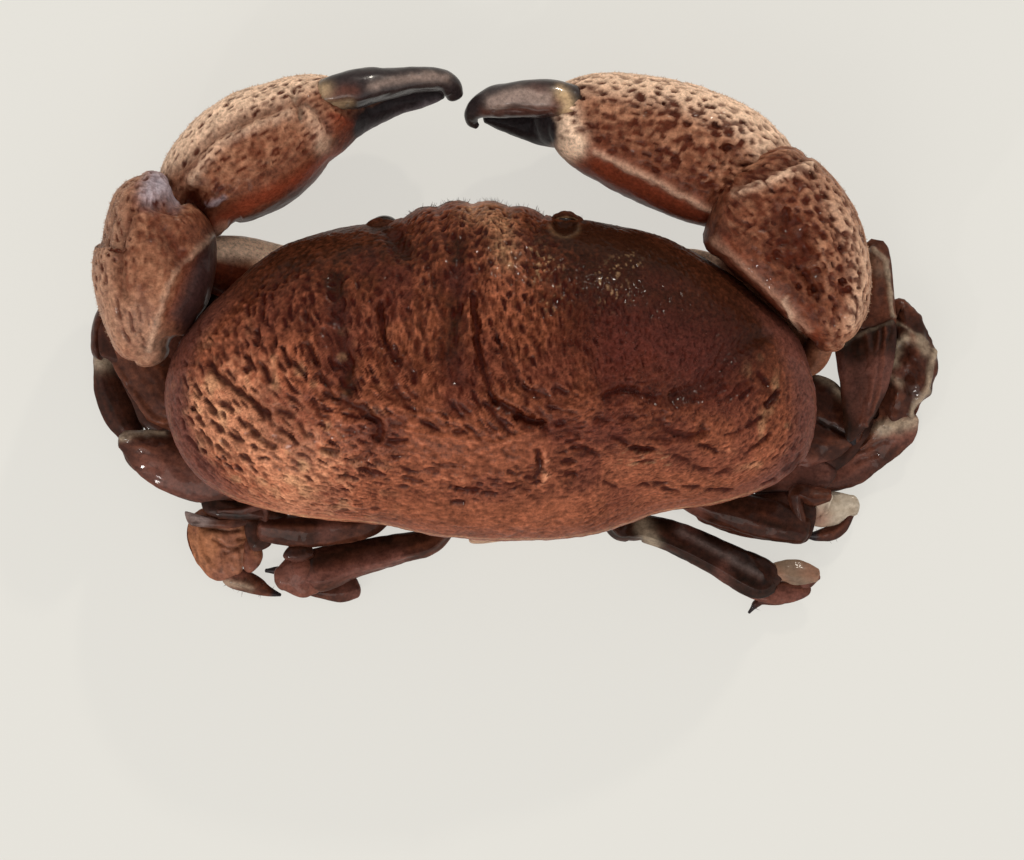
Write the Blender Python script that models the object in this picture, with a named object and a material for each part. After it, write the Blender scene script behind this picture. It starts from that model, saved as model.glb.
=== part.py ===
"""A dried reef crab, kept as a museum specimen.

It lies on its belly with both claws curled in front of the shell and its walking legs folded flat
against the sides.  Lengths are millimetres until the meshes are made: X to the crab's right, Y to
its front, Z up, with Z = 0 on the surface that it lies on.  At the end everything is shifted so
that the origin is at the bottom centre of the whole crab's box.
"""

import math

import bmesh
import bpy
from mathutils import Matrix, Vector

MM = 0.001
GAP = 0.35

# Driving sizes of the body
SHELL_TOP = 35.0
SHELL_RIM_HEIGHT = 18.0
SHELL_FLOOR_HEIGHT = 8.6
SHELL_CENTRE = (-0.5, 0.5)
SHELL_HALF_SIZE = (44.0, 23.0)
SHELL_CELLS_X = 38
SHELL_CELLS_Y = 18
BELLY_TURN = math.radians(8.5)
BREASTPLATE_TOP = 8.2

# Outline of the shell from above, clockwise from the notch between the two halves of its front
SHELL_OUTLINE = [
    (-2.8, 22.9), (2.9, 22.4), (9.3, 20.7), (14.0, 20.3), (22.6, 18.3), (29.5, 14.9),
    (36.4, 9.7), (41.6, 3.9), (43.8, -4.0), (42.6, -10.8), (38.4, -14.9), (31.0, -17.7),
    (22.6, -19.0), (14.0, -21.9), (3.3, -22.8), (-7.3, -22.1), (-16.0, -20.4), (-26.0, -19.5),
    (-35.5, -16.8), (-41.2, -12.2), (-44.0, -4.0), (-42.0, 4.0), (-36.5, 10.4), (-29.0, 16.4),
    (-21.4, 19.2), (-13.6, 20.4), (-8.0, 22.4),
]
FRONT_LOBES = dict(left=-12.5, right=8.3, count=6, height=0.55)

# Furrows and swellings of the shell: a path, its half width and its depth (negative is raised)
FURROWS = [
    dict(path=[(-2.9, 19.0), (-2.9, 10.0), (-2.6, 3.5)], half_width=1.5, depth=1.0),
    dict(path=[(-4.8, 10.5), (-4.4, 3.5)], half_width=2.4, depth=0.8),
    dict(path=[(-1.8, 9.5), (-0.5, 2.5), (1.2, -2.5), (7.0, -7.2)], half_width=1.2, depth=1.0),
    dict(path=[(-21.5, 11.0), (-20.0, 3.0), (-18.5, -3.5), (-15.5, -6.0), (-15.3, -9.0),
               (-19.0, -13.5)], half_width=1.5, depth=1.2),
    dict(path=[(-14.6, 9.5), (-14.0, 2.0)], half_width=1.2, depth=0.7),
    dict(path=[(-38.5, 2.5), (-34.5, -1.2), (-30.0, -5.2)], half_width=1.4, depth=1.1),
    dict(path=[(37.0, 5.0), (33.0, 0.0), (26.5, -3.8)], half_width=1.5, depth=1.2),
    dict(path=[(15.5, -2.8), (21.5, -2.6)], half_width=1.0, depth=0.6),
    dict(path=[(23.0, -4.5), (25.3, -7.8), (28.0, -9.2)], half_width=1.1, depth=0.8),
    dict(path=[(-11.5, -8.6), (-5.5, -9.4), (1.0, -9.8), (6.8, -7.6)], half_width=1.1, depth=-0.7),
    dict(path=[(6.8, -10.5), (7.0, -14.5)], half_width=1.0, depth=-0.5),
    dict(path=[(-29.0, 9.0), (-27.0, 1.0), (-25.5, -8.0)], half_width=5.0, depth=-0.6),
    dict(path=[(14.0, 9.5), (20.0, 3.5)], half_width=5.5, depth=-0.7),
    dict(path=[(30.0, -9.0), (35.0, -8.0)], half_width=4.5, depth=-0.5),
]
# Rings that carry the shell's edge under the body: share of the radius, share of the rim's height
UNDERCUT = [(0.985, 0.90), (0.91, 0.48), (0.72, 0.0)]
PIT_DEPTH = 0.7
CLAW_DIMPLE = 0.45
SMOOTH_REAR = -16.5
EYES = {"eye_left": (-14.4, 19.7, 18.6), "eye_right": (9.8, 20.0, 18.6)}
EYE_RADIUS = 1.7
EYE_SEGMENTS = (10, 7)
ORBIT_SEGMENTS = (12, 8)

# How a limb starts inside what carries it, and how its ends are rounded off
NECK_SHARE = 0.6
ROOT_SHARE = 0.8
NOSE_REACH = 0.45
NOSE_SHARE = 0.62
NOSE_POINT = 0.63

# A limb is a row of sections: centre x, y, z, half width across, half height.
CLAWS = {
    "arm_left": dict(sides=8, rings=6, stations=[
        (-16.0, 8.6, 4.6, 2.6, 2.8), (-23.0, 10.8, 4.9, 3.8, 3.0), (-31.0, 13.4, 7.6, 4.5, 3.9),
        (-37.0, 14.5, 9.8, 4.2, 4.2), (-40.2, 14.8, 13.0, 2.6, 2.6)]),
    "wrist_left": dict(sides=12, rings=9, stations=[
        (-45.3, 25.8, 19.0, 1.8, 3.0), (-45.9, 22.6, 18.5, 5.8, 7.2), (-45.3, 17.6, 17.7, 8.0, 8.9),
        (-45.7, 12.2, 17.5, 8.1, 9.0), (-46.3, 8.0, 17.4, 6.7, 8.0), (-46.5, 4.4, 17.4, 4.7, 6.0),
        (-45.8, 2.4, 17.4, 2.6, 3.6)]),
    "palm_left": dict(sides=12, rings=14, stations=[
        (-40.6, 22.3, 13.0, 5.4, 6.0), (-38.9, 25.0, 12.6, 6.8, 8.0), (-36.0, 27.4, 12.0, 7.9, 9.0),
        (-32.5, 29.6, 11.6, 8.4, 9.6), (-28.8, 31.8, 11.2, 7.9, 9.5), (-25.0, 34.0, 10.8, 6.5, 8.4),
        (-21.5, 35.0, 9.8, 5.2, 6.4), (-17.8, 34.4, 8.6, 3.8, 4.2), (-14.0, 36.2, 8.2, 2.4, 2.8),
        (-10.0, 37.4, 8.6, 1.7, 2.0), (-6.9, 38.0, 9.2, 0.8, 1.0)]),
    "finger_left": dict(sides=8, rings=8, stations=[
        (-22.2, 37.4, 15.4, 2.2, 2.8), (-18.5, 38.2, 15.6, 2.7, 3.2), (-14.5, 38.9, 14.8, 2.2, 2.8),
        (-10.5, 39.4, 13.4, 1.8, 2.3), (-7.0, 39.1, 11.8, 1.3, 1.7), (-4.8, 38.2, 10.5, 0.5, 0.7)]),
    "arm_right": dict(sides=8, rings=7, stations=[
        (13.8, 10.8, 4.8, 2.6, 2.8), (22.0, 12.8, 5.4, 4.0, 2.8), (30.0, 11.8, 7.4, 4.2, 2.9),
        (37.6, 6.6, 8.4, 3.6, 2.9), (42.6, 1.7, 9.8, 2.4, 2.2), (44.8, 4.4, 13.0, 1.8, 1.8)]),
    "wrist_right": dict(sides=12, rings=9, stations=[
        (35.8, 22.9, 17.9, 9.0, 7.6), (38.5, 20.5, 17.9, 9.4, 8.8), (41.7, 16.8, 17.9, 8.8, 9.0),
        (43.8, 12.6, 17.6, 7.6, 8.8), (45.2, 8.6, 17.6, 6.0, 7.6), (45.6, 5.6, 17.6, 4.0, 5.4),
        (45.6, 4.0, 17.6, 2.0, 3.0)]),
    "palm_right": dict(sides=12, rings=14, stations=[
        (35.7, 25.9, 14.2, 7.2, 7.0), (32.9, 27.4, 13.2, 8.4, 8.6), (29.0, 28.9, 12.5, 8.9, 9.4),
        (23.7, 30.9, 11.8, 8.8, 9.6), (17.9, 32.8, 11.2, 7.9, 9.2), (13.0, 34.0, 10.8, 6.7, 8.0),
        (9.8, 34.5, 9.8, 4.5, 6.2), (7.2, 33.8, 8.4, 3.0, 4.0), (4.4, 34.0, 8.0, 2.2, 2.8),
        (1.5, 34.4, 8.2, 1.5, 2.0), (-0.7, 34.6, 8.8, 0.7, 0.9)]),
    "finger_right": dict(sides=8, rings=8, stations=[
        (11.0, 36.6, 15.4, 2.3, 2.8), (7.6, 36.9, 15.6, 2.7, 3.2), (4.0, 36.8, 14.8, 2.5, 2.9),
        (0.6, 36.5, 13.4, 2.2, 2.4), (-1.8, 35.8, 11.8, 1.2, 1.6), (-2.7, 35.2, 10.8, 0.4, 0.6)]),
}

LEGS = {
    "leg1_left": dict(
        thigh=[(-18.2, 4.0, 4.6, 2.1, 2.1), (-28.0, 0.5, 5.4, 2.9, 2.3), (-37.0, -4.2, 6.1, 3.2, 2.1),
               (-43.6, -4.1, 6.2, 3.9, 2.0), (-46.4, 0.0, 6.2, 3.8, 1.9), (-48.9, 4.0, 6.2, 3.5, 1.8),
               (-51.0, 7.0, 6.2, 1.7, 1.4)],
        knee=[(-52.6, 8.6, 5.6, 0.9, 1.3), (-53.8, 6.2, 5.2, 0.9, 1.5), (-53.9, 3.3, 4.6, 0.9, 1.3)],
        shin=[(-53.4, 1.6, 2.4, 1.2, 1.1), (-52.4, -2.0, 2.3, 2.2, 1.3), (-50.6, -5.8, 2.2, 2.5, 1.3),
              (-49.0, -8.6, 2.1, 1.7, 1.1)],
        tip=[(-47.3, -9.9, 2.0, 1.0, 0.9), (-45.2, -8.8, 1.8, 0.9, 0.8), (-42.2, -7.2, 1.6, 0.3, 0.3)]),
    "leg2_left": dict(
        thigh=[(-18.8, -2.6, 4.6, 2.1, 2.1), (-26.5, -8.8, 5.2, 2.9, 2.2), (-34.8, -14.0, 5.9, 3.6, 2.1),
               (-40.8, -12.8, 6.0, 4.6, 2.0), (-46.0, -11.1, 6.0, 3.7, 1.8), (-50.2, -9.2, 6.0, 1.3, 1.2)],
        knee=[(-49.4, -11.4, 3.0, 0.9, 0.9), (-48.4, -12.3, 2.6, 1.1, 1.0), (-47.2, -13.0, 2.3, 1.0, 1.0)],
        shin=[(-46.0, -14.0, 2.2, 1.2, 1.0), (-43.2, -15.2, 2.2, 1.7, 1.2), (-40.2, -16.4, 2.2, 1.4, 1.1)],
        tip=[(-39.0, -17.0, 2.2, 1.1, 1.0), (-36.6, -18.2, 2.0, 0.9, 0.8), (-34.4, -18.6, 1.6, 0.3, 0.3)]),
    "leg3_left": dict(
        thigh=[(-14.6, -11.0, 4.6, 1.8, 2.0), (-14.0, -17.0, 5.0, 1.8, 2.0), (-17.0, -20.6, 5.4, 1.9, 1.9),
               (-22.0, -21.5, 5.7, 2.1, 1.8), (-27.0, -21.6, 5.8, 2.2, 1.7), (-31.2, -21.4, 5.8, 1.7, 1.4)],
        knee=[(-31.0, -18.3, 6.0, 0.9, 1.3), (-34.0, -18.9, 5.9, 1.1, 1.3), (-37.2, -19.0, 5.6, 1.0, 1.2)],
        shin=[(-37.3, -19.7, 2.9, 4.0, 1.0), (-37.0, -21.7, 2.8, 4.9, 1.2), (-36.6, -24.3, 2.6, 4.5, 1.2),
              (-35.7, -26.8, 2.4, 3.0, 1.0)],
        tip=[(-35.0, -28.4, 2.0, 1.5, 0.9), (-32.2, -29.3, 1.7, 1.2, 0.8), (-29.0, -30.6, 1.2, 0.3, 0.3)]),
    "leg4_left": dict(
        thigh=[(-9.4, -17.4, 4.4, 1.7, 1.9), (-6.6, -20.0, 4.6, 1.7, 1.8), (-8.4, -23.0, 4.6, 1.8, 1.8),
               (-13.0, -24.1, 4.6, 2.1, 1.7), (-18.6, -25.4, 4.6, 2.5, 1.7), (-23.6, -27.0, 4.6, 3.0, 1.6)],
        knee=[(-26.4, -27.7, 4.3, 3.1, 1.4), (-28.8, -28.2, 4.1, 1.7, 1.0)],
        shin=[(-26.6, -30.0, 1.8, 0.9, 0.7), (-22.2, -29.9, 1.7, 1.4, 0.9), (-18.4, -29.3, 1.7, 1.7, 0.9)],
        tip=[(-21.4, -27.2, 1.4, 0.9, 0.7), (-26.6, -27.1, 1.4, 0.8, 0.6), (-31.0, -27.1, 1.2, 0.3, 0.3)]),
    "leg1_right": dict(
        thigh=[(17.2, 5.6, 3.4, 2.1, 1.7), (27.0, 4.8, 3.5, 2.8, 1.7), (36.0, 4.8, 3.5, 3.2, 1.6),
               (43.0, 6.3, 3.5, 3.4, 1.6), (48.4, 10.0, 3.6, 3.0, 1.5), (51.0, 13.6, 3.8, 1.6, 1.3)],
        knee=[(52.4, 16.9, 6.6, 1.5, 1.1), (52.8, 12.5, 6.8, 2.0, 1.2), (51.7, 7.0, 6.8, 3.5, 1.2)],
        shin=[(51.4, 4.2, 6.7, 3.3, 1.2), (50.9, 1.0, 6.6, 3.0, 1.2), (50.5, -2.8, 6.6, 2.3, 1.1),
              (50.1, -5.7, 6.5, 1.6, 1.0)],
        tip=[(49.7, -7.1, 6.3, 1.3, 0.9), (49.1, -8.5, 6.1, 0.9, 0.7), (49.5, -9.8, 5.9, 0.3, 0.3)]),
    "leg2_right": dict(
        thigh=[(18.0, -1.8, 4.2, 2.1, 1.9), (28.0, -5.8, 3.9, 2.9, 1.7), (37.0, -7.0, 3.8, 4.4, 1.4),
               (43.4, -6.7, 3.8, 6.5, 1.3), (47.2, -7.4, 3.8, 4.6, 1.2), (49.8, -7.6, 3.8, 2.0, 1.0)],
        knee=[(55.4, 8.6, 5.0, 0.9, 1.3), (57.5, 5.2, 5.2, 2.4, 1.8), (57.8, 1.5, 5.2, 3.0, 1.9),
              (56.5, -2.4, 5.0, 2.8, 1.8), (55.4, -5.1, 4.8, 2.6, 1.5)],
        shin=[(55.2, -7.5, 3.6, 3.2, 1.4), (53.2, -10.0, 2.6, 2.7, 1.3), (49.6, -13.1, 1.6, 2.3, 1.1),
              (46.0, -15.0, 1.5, 1.4, 1.0)],
        tip=[(44.4, -15.5, 1.5, 1.0, 0.9), (40.8, -15.4, 1.4, 0.8, 0.7), (37.0, -14.6, 1.2, 0.3, 0.3)]),
    "leg3_right": dict(
        thigh=[(16.0, -8.0, 4.3, 1.9, 2.0), (22.0, -13.4, 4.6, 2.0, 1.9), (28.5, -17.7, 4.8, 2.0, 1.8),
               (34.0, -19.1, 4.8, 2.6, 1.7), (39.0, -20.3, 4.7, 2.8, 1.6), (42.6, -21.5, 4.5, 1.9, 1.3)],
        knee=[(41.6, -16.6, 5.2, 1.1, 1.2), (44.0, -16.9, 5.0, 1.3, 1.2), (46.0, -16.8, 4.8, 0.9, 1.0)],
        shin=[(44.6, -19.1, 2.5, 1.8, 0.9), (47.0, -18.6, 2.4, 2.3, 1.0), (49.6, -18.2, 2.3, 1.5, 0.8)],
        tip=[(48.2, -20.9, 2.1, 0.9, 0.8), (46.2, -22.1, 2.1, 1.1, 0.9), (43.6, -22.4, 2.1, 0.5, 0.5)]),
    "leg4_right": dict(
        thigh=[(12.8, -14.0, 4.3, 1.7, 1.9), (17.3, -20.6, 4.4, 2.0, 2.0), (19.0, -21.6, 4.5, 1.4, 1.5),
               (21.0, -21.3, 4.6, 1.9, 1.8), (26.0, -22.9, 4.5, 2.3, 1.8), (31.0, -25.3, 4.4, 2.5, 1.7),
               (36.6, -28.2, 4.2, 2.8, 1.5)],
        knee=[(39.4, -27.2, 4.0, 1.4, 1.1), (41.8, -27.3, 3.9, 1.8, 1.1), (44.4, -27.7, 3.8, 1.0, 0.8)],
        shin=[(42.0, -29.6, 1.6, 1.0, 0.8), (39.4, -30.4, 1.5, 1.4, 0.9), (37.4, -31.0, 1.5, 0.9, 0.8)],
        tip=[(36.4, -31.6, 1.3, 0.6, 0.6), (35.9, -32.2, 1.2, 0.4, 0.4), (35.3, -32.9, 1.1, 0.2, 0.2)]),
}
LEG_PIECES = {
    "thigh": dict(sides=8, rings=8),
    "knee": dict(sides=8, rings=4),
    "shin": dict(sides=8, rings=5),
    "tip": dict(sides=6, rings=3),
}

BREASTPLATE = [
    (0.0, 12.6, 4.4, 7.0, 3.6), (0.0, 9.5, 4.4, 12.0, 5.0), (0.0, 4.0, 4.4, 15.3, 5.6),
    (0.0, -3.0, 4.4, 16.0, 5.8), (0.0, -9.0, 4.4, 14.2, 5.6), (0.0, -14.5, 4.4, 9.6, 5.0),
    (0.0, -17.0, 4.6, 5.4, 3.6),
]
TAIL_FLAP = [
    (0.0, -21.2, 14.6, 5.8, 0.9), (0.0, -22.0, 10.4, 6.4, 0.9), (0.0, -21.6, 6.2, 6.4, 0.9),
    (0.0, -19.4, 2.8, 6.2, 1.0), (0.0, -15.0, 1.2, 5.8, 1.5), (0.0, -8.0, 0.9, 5.0, 1.5),
    (0.0, -1.0, 0.9, 4.0, 1.5), (0.0, 3.6, 0.9, 2.2, 1.4),
]
MOUTHPART = [
    (3.4, 21.2, 14.0, 2.8, 0.9), (3.7, 19.9, 9.4, 3.3, 1.0), (3.6, 17.8, 5.2, 3.2, 1.0),
    (3.0, 14.4, 2.6, 2.2, 0.9),
]

COLOURS = {
    "shell": (0.30, 0.10, 0.045), "claw": (0.36, 0.16, 0.10), "finger": (0.035, 0.025, 0.025),
    "leg": (0.11, 0.035, 0.022), "leg_pale": (0.34, 0.29, 0.22), "belly": (0.42, 0.30, 0.18),
    "eye": (0.02, 0.012, 0.01),
}
ROUGHNESS = {"shell": 0.45, "claw": 0.42, "finger": 0.3, "leg": 0.35, "leg_pale": 0.5,
             "belly": 0.5, "eye": 0.15}
PALE_LEG_PIECES = ("leg3_right_shin", "leg4_right_knee")


def clear_scene():
    for item in list(bpy.data.objects):
        bpy.data.objects.remove(item, do_unlink=True)


def new_collection(name):
    collection = bpy.data.collections.new(name)
    bpy.context.scene.collection.children.link(collection)
    return collection


def make_material(name):
    material = bpy.data.materials.new("finish_" + name)
    material.use_nodes = True
    shader = material.node_tree.nodes["Principled BSDF"]
    shader.inputs["Base Color"].default_value = (*COLOURS[name], 1.0)
    shader.inputs["Roughness"].default_value = ROUGHNESS[name]
    shader.inputs["Metallic"].default_value = 0.0
    return material


def link_mesh(name, bm, material, collection):
    """Turn a bmesh in millimetres into a named object in metres."""
    bmesh.ops.recalc_face_normals(bm, faces=bm.faces)
    bmesh.ops.scale(bm, vec=(MM, MM, MM), verts=bm.verts)
    mesh = bpy.data.meshes.new(name)
    bm.to_mesh(mesh)
    bm.free()
    mesh.materials.append(material)
    mesh.shade_smooth()
    item = bpy.data.objects.new(name, mesh)
    collection.objects.link(item)
    return item


def catmull_rom(before, start, end, after, share):
    """A point on the smooth curve from start to end."""
    values = []
    for a, b, c, d in zip(before, start, end, after):
        values.append(0.5 * (2 * b + (c - a) * share + (2 * a - 5 * b + 4 * c - d) * share ** 2
                             + (3 * b - 3 * c + d - a) * share ** 3))
    return tuple(values)


def sample_open(stations, count):
    """Read count sections at even steps along a row of stations."""
    last = len(stations) - 1
    samples = []
    for index in range(count):
        place = index / (count - 1) * last
        span = min(int(place), last - 1)
        before = stations[max(span - 1, 0)]
        after = stations[min(span + 2, last)]
        samples.append(catmull_rom(before, stations[span], stations[span + 1], after, place - span))
    return samples


def sample_closed(points, place):
    """Read the closed smooth curve through points at a place between 0 and 1."""
    count = len(points)
    along = (place % 1.0) * count
    span = int(along) % count
    four = [points[(span + step) % count] for step in (-1, 0, 1, 2)]
    return catmull_rom(*four, along - int(along))


def signed_power(value, power):
    return math.copysign(abs(value) ** power, value)


def limb_rings(stations, sides, rings, squareness=0.8, across=None, dimple=0.0):
    """Rounded rings along a limb, with a smaller ring and a point closing each end."""
    samples = sample_open(stations, rings)
    centres = [Vector(sample[:3]) for sample in samples]
    loops = []
    for index, sample in enumerate(samples):
        ahead = centres[min(index + 1, rings - 1)] - centres[max(index - 1, 0)]
        ahead.normalize()
        side = Vector(across) if across else ahead.cross(Vector((0, 0, 1))).normalized()
        up = side.cross(ahead).normalized()
        half_width, half_height = sample[3], sample[4]
        loops.append((centres[index], ahead, side, up, half_width, half_height))
    first, last = loops[0], loops[-1]
    thin_first = min(first[4], first[5])
    thin_last = min(last[4], last[5])
    start = (first[0] - first[1] * NOSE_REACH * thin_first, *first[1:4],
             first[4] * NOSE_SHARE, first[5] * NOSE_SHARE)
    end = (last[0] + last[1] * NOSE_REACH * thin_last, *last[1:4],
           last[4] * NOSE_SHARE, last[5] * NOSE_SHARE)
    outlines = []
    for row, (centre, _, side, up, half_width, half_height) in enumerate([start, *loops, end]):
        ring = []
        for corner in range(sides):
            angle = 2 * math.pi * corner / sides
            dip = dimple if row % 2 == 0 and (corner + row // 2) % 2 == 0 else 0.0
            wide = max(half_width - dip, 0.3 * half_width)
            high = max(half_height - dip, 0.3 * half_height)
            ring.append(centre + side * wide * signed_power(math.cos(angle), squareness)
                        + up * high * signed_power(math.sin(angle), squareness))
        outlines.append(ring)
    apexes = (first[0] - first[1] * NOSE_POINT * thin_first,
              last[0] + last[1] * NOSE_POINT * thin_last)
    return outlines, apexes


def skin_rings(outlines, apexes):
    """Close a row of rings into one body."""
    bm = bmesh.new()
    loops = [[bm.verts.new(point) for point in ring] for ring in outlines]
    count = len(loops[0])
    for lower, upper in zip(loops, loops[1:]):
        for corner in range(count):
            following = (corner + 1) % count
            bm.faces.new((lower[corner], lower[following], upper[following], upper[corner]))
    for loop, apex in zip((loops[0], loops[-1]), apexes):
        point = bm.verts.new(apex)
        for corner in range(count):
            bm.faces.new((loop[corner], loop[(corner + 1) % count], point))
    return bm


def make_limb(name, stations, sides, rings, material, collection, squareness=0.8, dimple=0.0):
    outlines, apexes = limb_rings(stations, sides, rings, squareness, dimple=dimple)
    return link_mesh(name, skin_rings(outlines, apexes), material, collection)


def distance_to_path(x, y, path):
    """Shortest distance from a point to a path of straight pieces."""
    best = 1e9
    for (ax, ay), (bx, by) in zip(path, path[1:]):
        run_x, run_y = bx - ax, by - ay
        share = ((x - ax) * run_x + (y - ay) * run_y) / (run_x ** 2 + run_y ** 2)
        share = min(max(share, 0.0), 1.0)
        best = min(best, math.hypot(x - ax - share * run_x, y - ay - share * run_y))
    return best


def smooth_step(low, high, value):
    share = min(max((value - low) / (high - low), 0.0), 1.0)
    return share * share * (3 - 2 * share)


def shell_rim(angle_share):
    """A point of the shell's outline, with the lobes of its front."""
    x, y = sample_closed(SHELL_OUTLINE, angle_share)
    if y > 0 and FRONT_LOBES["left"] < x < FRONT_LOBES["right"]:
        across = (x - FRONT_LOBES["left"]) / (FRONT_LOBES["right"] - FRONT_LOBES["left"])
        y += FRONT_LOBES["height"] * (abs(math.sin(across * math.pi * FRONT_LOBES["count"])) - 0.5)
    return x, y


def shell_radius_table(steps=720):
    """How far the shell's outline is from its centre, by direction."""
    table = []
    for step in range(steps):
        x, y = shell_rim(step / steps)
        offset_x, offset_y = x - SHELL_CENTRE[0], y - SHELL_CENTRE[1]
        table.append((math.atan2(offset_y, offset_x), math.hypot(offset_x, offset_y)))
    return sorted(table)


def read_radius(table, angle):
    """Linear reading between the two entries around an angle."""
    low, high = 0, len(table) - 1
    if angle <= table[0][0] or angle >= table[-1][0]:
        return 0.5 * (table[0][1] + table[-1][1])
    while high - low > 1:
        middle = (low + high) // 2
        if table[middle][0] <= angle:
            low = middle
        else:
            high = middle
    share = (angle - table[low][0]) / (table[high][0] - table[low][0])
    return table[low][1] * (1 - share) + table[high][1] * share


def dome_height(y, reach):
    """Height of the plain dome: steep at the front, gentle towards the rear."""
    towards_front = smooth_step(-18.0, 20.0, y)
    power = 2.1 + 1.1 * towards_front
    rise = max(1.0 - reach ** power, 0.0) ** 0.62
    return SHELL_RIM_HEIGHT + (SHELL_TOP - SHELL_RIM_HEIGHT) * rise


def furrow_depth(x, y):
    depth = 0.0
    for furrow in FURROWS:
        distance = distance_to_path(x, y, furrow["path"])
        depth += furrow["depth"] * math.exp(-(distance / furrow["half_width"]) ** 2)
    return depth


def make_shell(material, collection):
    """Domed top from a grid, then rings that carry the rim round and under the body."""
    table = shell_radius_table()
    bm = bmesh.new()
    bmesh.ops.create_grid(bm, x_segments=SHELL_CELLS_X, y_segments=SHELL_CELLS_Y, size=1.0)
    for vert in bm.verts:
        column = round((vert.co.x + 1) / 2 * SHELL_CELLS_X)
        row = round((vert.co.y + 1) / 2 * SHELL_CELLS_Y)
        u, v = vert.co.x, vert.co.y
        disc_x = u * math.sqrt(1 - v * v / 2)
        disc_y = v * math.sqrt(1 - u * u / 2)
        reach = min(math.hypot(disc_x, disc_y), 1.0)
        angle = math.atan2(disc_y * SHELL_HALF_SIZE[1], disc_x * SHELL_HALF_SIZE[0])
        rim = read_radius(table, angle)
        x = SHELL_CENTRE[0] + reach * rim * math.cos(angle)
        y = SHELL_CENTRE[1] + reach * rim * math.sin(angle)
        inside = smooth_step(1.0, 0.9, reach)
        pitted = inside * smooth_step(SMOOTH_REAR - 3.0, SMOOTH_REAR, y)
        in_pit = row % 2 == 1 and (column + row // 2) % 2 == 0
        pit = PIT_DEPTH * pitted if in_pit else 0.0
        z = dome_height(y, reach) - inside * furrow_depth(x, y) - pit
        vert.co = Vector((x, y, z))
    rim_edges = [edge for edge in bm.edges if edge.is_boundary]
    for inward, height in UNDERCUT:
        grown = bmesh.ops.extrude_edge_only(bm, edges=rim_edges)["geom"]
        ring = [item for item in grown if isinstance(item, bmesh.types.BMVert)]
        rim_edges = [item for item in grown if isinstance(item, bmesh.types.BMEdge)
                     and item.is_boundary]
        for vert in ring:
            angle = math.atan2(vert.co.y - SHELL_CENTRE[1], vert.co.x - SHELL_CENTRE[0])
            radius = read_radius(table, angle) * inward
            vert.co.x = SHELL_CENTRE[0] + radius * math.cos(angle)
            vert.co.y = SHELL_CENTRE[1] + radius * math.sin(angle)
            vert.co.z = SHELL_FLOOR_HEIGHT + (SHELL_RIM_HEIGHT - SHELL_FLOOR_HEIGHT) * height
    bmesh.ops.edgeloop_fill(bm, edges=rim_edges)
    return link_mesh("carapace", bm, material, collection)


def make_eye(name, material, collection):
    bm = bmesh.new()
    bmesh.ops.create_uvsphere(bm, u_segments=EYE_SEGMENTS[0], v_segments=EYE_SEGMENTS[1],
                              radius=EYE_RADIUS,
                              matrix=Matrix.Translation(EYES[name]))
    return link_mesh(name, bm, material, collection)


def make_belly_part(name, stations, sides, rings, material, collection, squareness, ceiling):
    """A plate of the underside: turned with the body's axis, and flat where it meets the floor."""
    outlines, apexes = limb_rings(stations, sides, rings, squareness, across=(1, 0, 0))
    bm = skin_rings(outlines, apexes)
    for vert in bm.verts:
        vert.co.z = min(max(vert.co.z, 0.0), ceiling)
    bmesh.ops.rotate(bm, cent=(0, 0, 0), matrix=Matrix.Rotation(BELLY_TURN, 3, "Z"), verts=bm.verts)
    return link_mesh(name, bm, material, collection)


def begin_in(parent, stations):
    """Start a piece inside the end of the one that carries it, for a carved seat to trim."""
    x, y, z = parent[-1][:3]
    thin = NECK_SHARE * min(*parent[-1][3:], *stations[0][3:])
    return [(x, y, z, thin, thin), *stations]


def begin_in_breastplate(stations):
    """Start a limb inside the breastplate, for a carved seat to trim."""
    x, y, z, half_width, half_height = stations[0]
    root = (x * ROOT_SHARE, y * ROOT_SHARE, z, half_width * ROOT_SHARE, half_height * ROOT_SHARE)
    return [root, *stations]


def swollen_copy(item, margin, cutters):
    """A copy grown outwards by the gap, for cutting a seat in its neighbour."""
    copy = item.copy()
    copy.data = item.data.copy()
    copy.name = item.name + "_seat_cutter"
    for vert in copy.data.vertices:
        vert.co += vert.normal * margin * MM
    copy.hide_render = True
    copy.display_type = "WIRE"
    cutters.objects.link(copy)
    return copy


def carve(item, cutter):
    seat = item.modifiers.new("seat of " + cutter.name, "BOOLEAN")
    seat.operation = "DIFFERENCE"
    seat.solver = "EXACT"
    seat.object = cutter


def make_orbit_cutter(name, cutters):
    """The hollow in the shell's front that an eye sits in."""
    bm = bmesh.new()
    bmesh.ops.create_uvsphere(bm, u_segments=ORBIT_SEGMENTS[0], v_segments=ORBIT_SEGMENTS[1],
                              radius=EYE_RADIUS + GAP,
                              matrix=Matrix.Translation(EYES[name]))
    cutter = link_mesh(name + "_orbit_cutter", bm, bpy.data.materials["finish_eye"], cutters)
    cutter.hide_render = True
    cutter.display_type = "WIRE"
    return cutter


def centre_on_origin(items):
    """Shift everything so that the origin is at the bottom centre of the whole box."""
    graph = bpy.context.evaluated_depsgraph_get()
    corners = []
    for item in items:
        evaluated = item.evaluated_get(graph)
        corners.extend(item.matrix_world @ vert.co for vert in evaluated.data.vertices)
    middle_x = (min(point.x for point in corners) + max(point.x for point in corners)) / 2
    middle_y = (min(point.y for point in corners) + max(point.y for point in corners)) / 2
    lowest = min(point.z for point in corners)
    for item in bpy.data.objects:
        item.location -= Vector((middle_x, middle_y, lowest))


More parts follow.
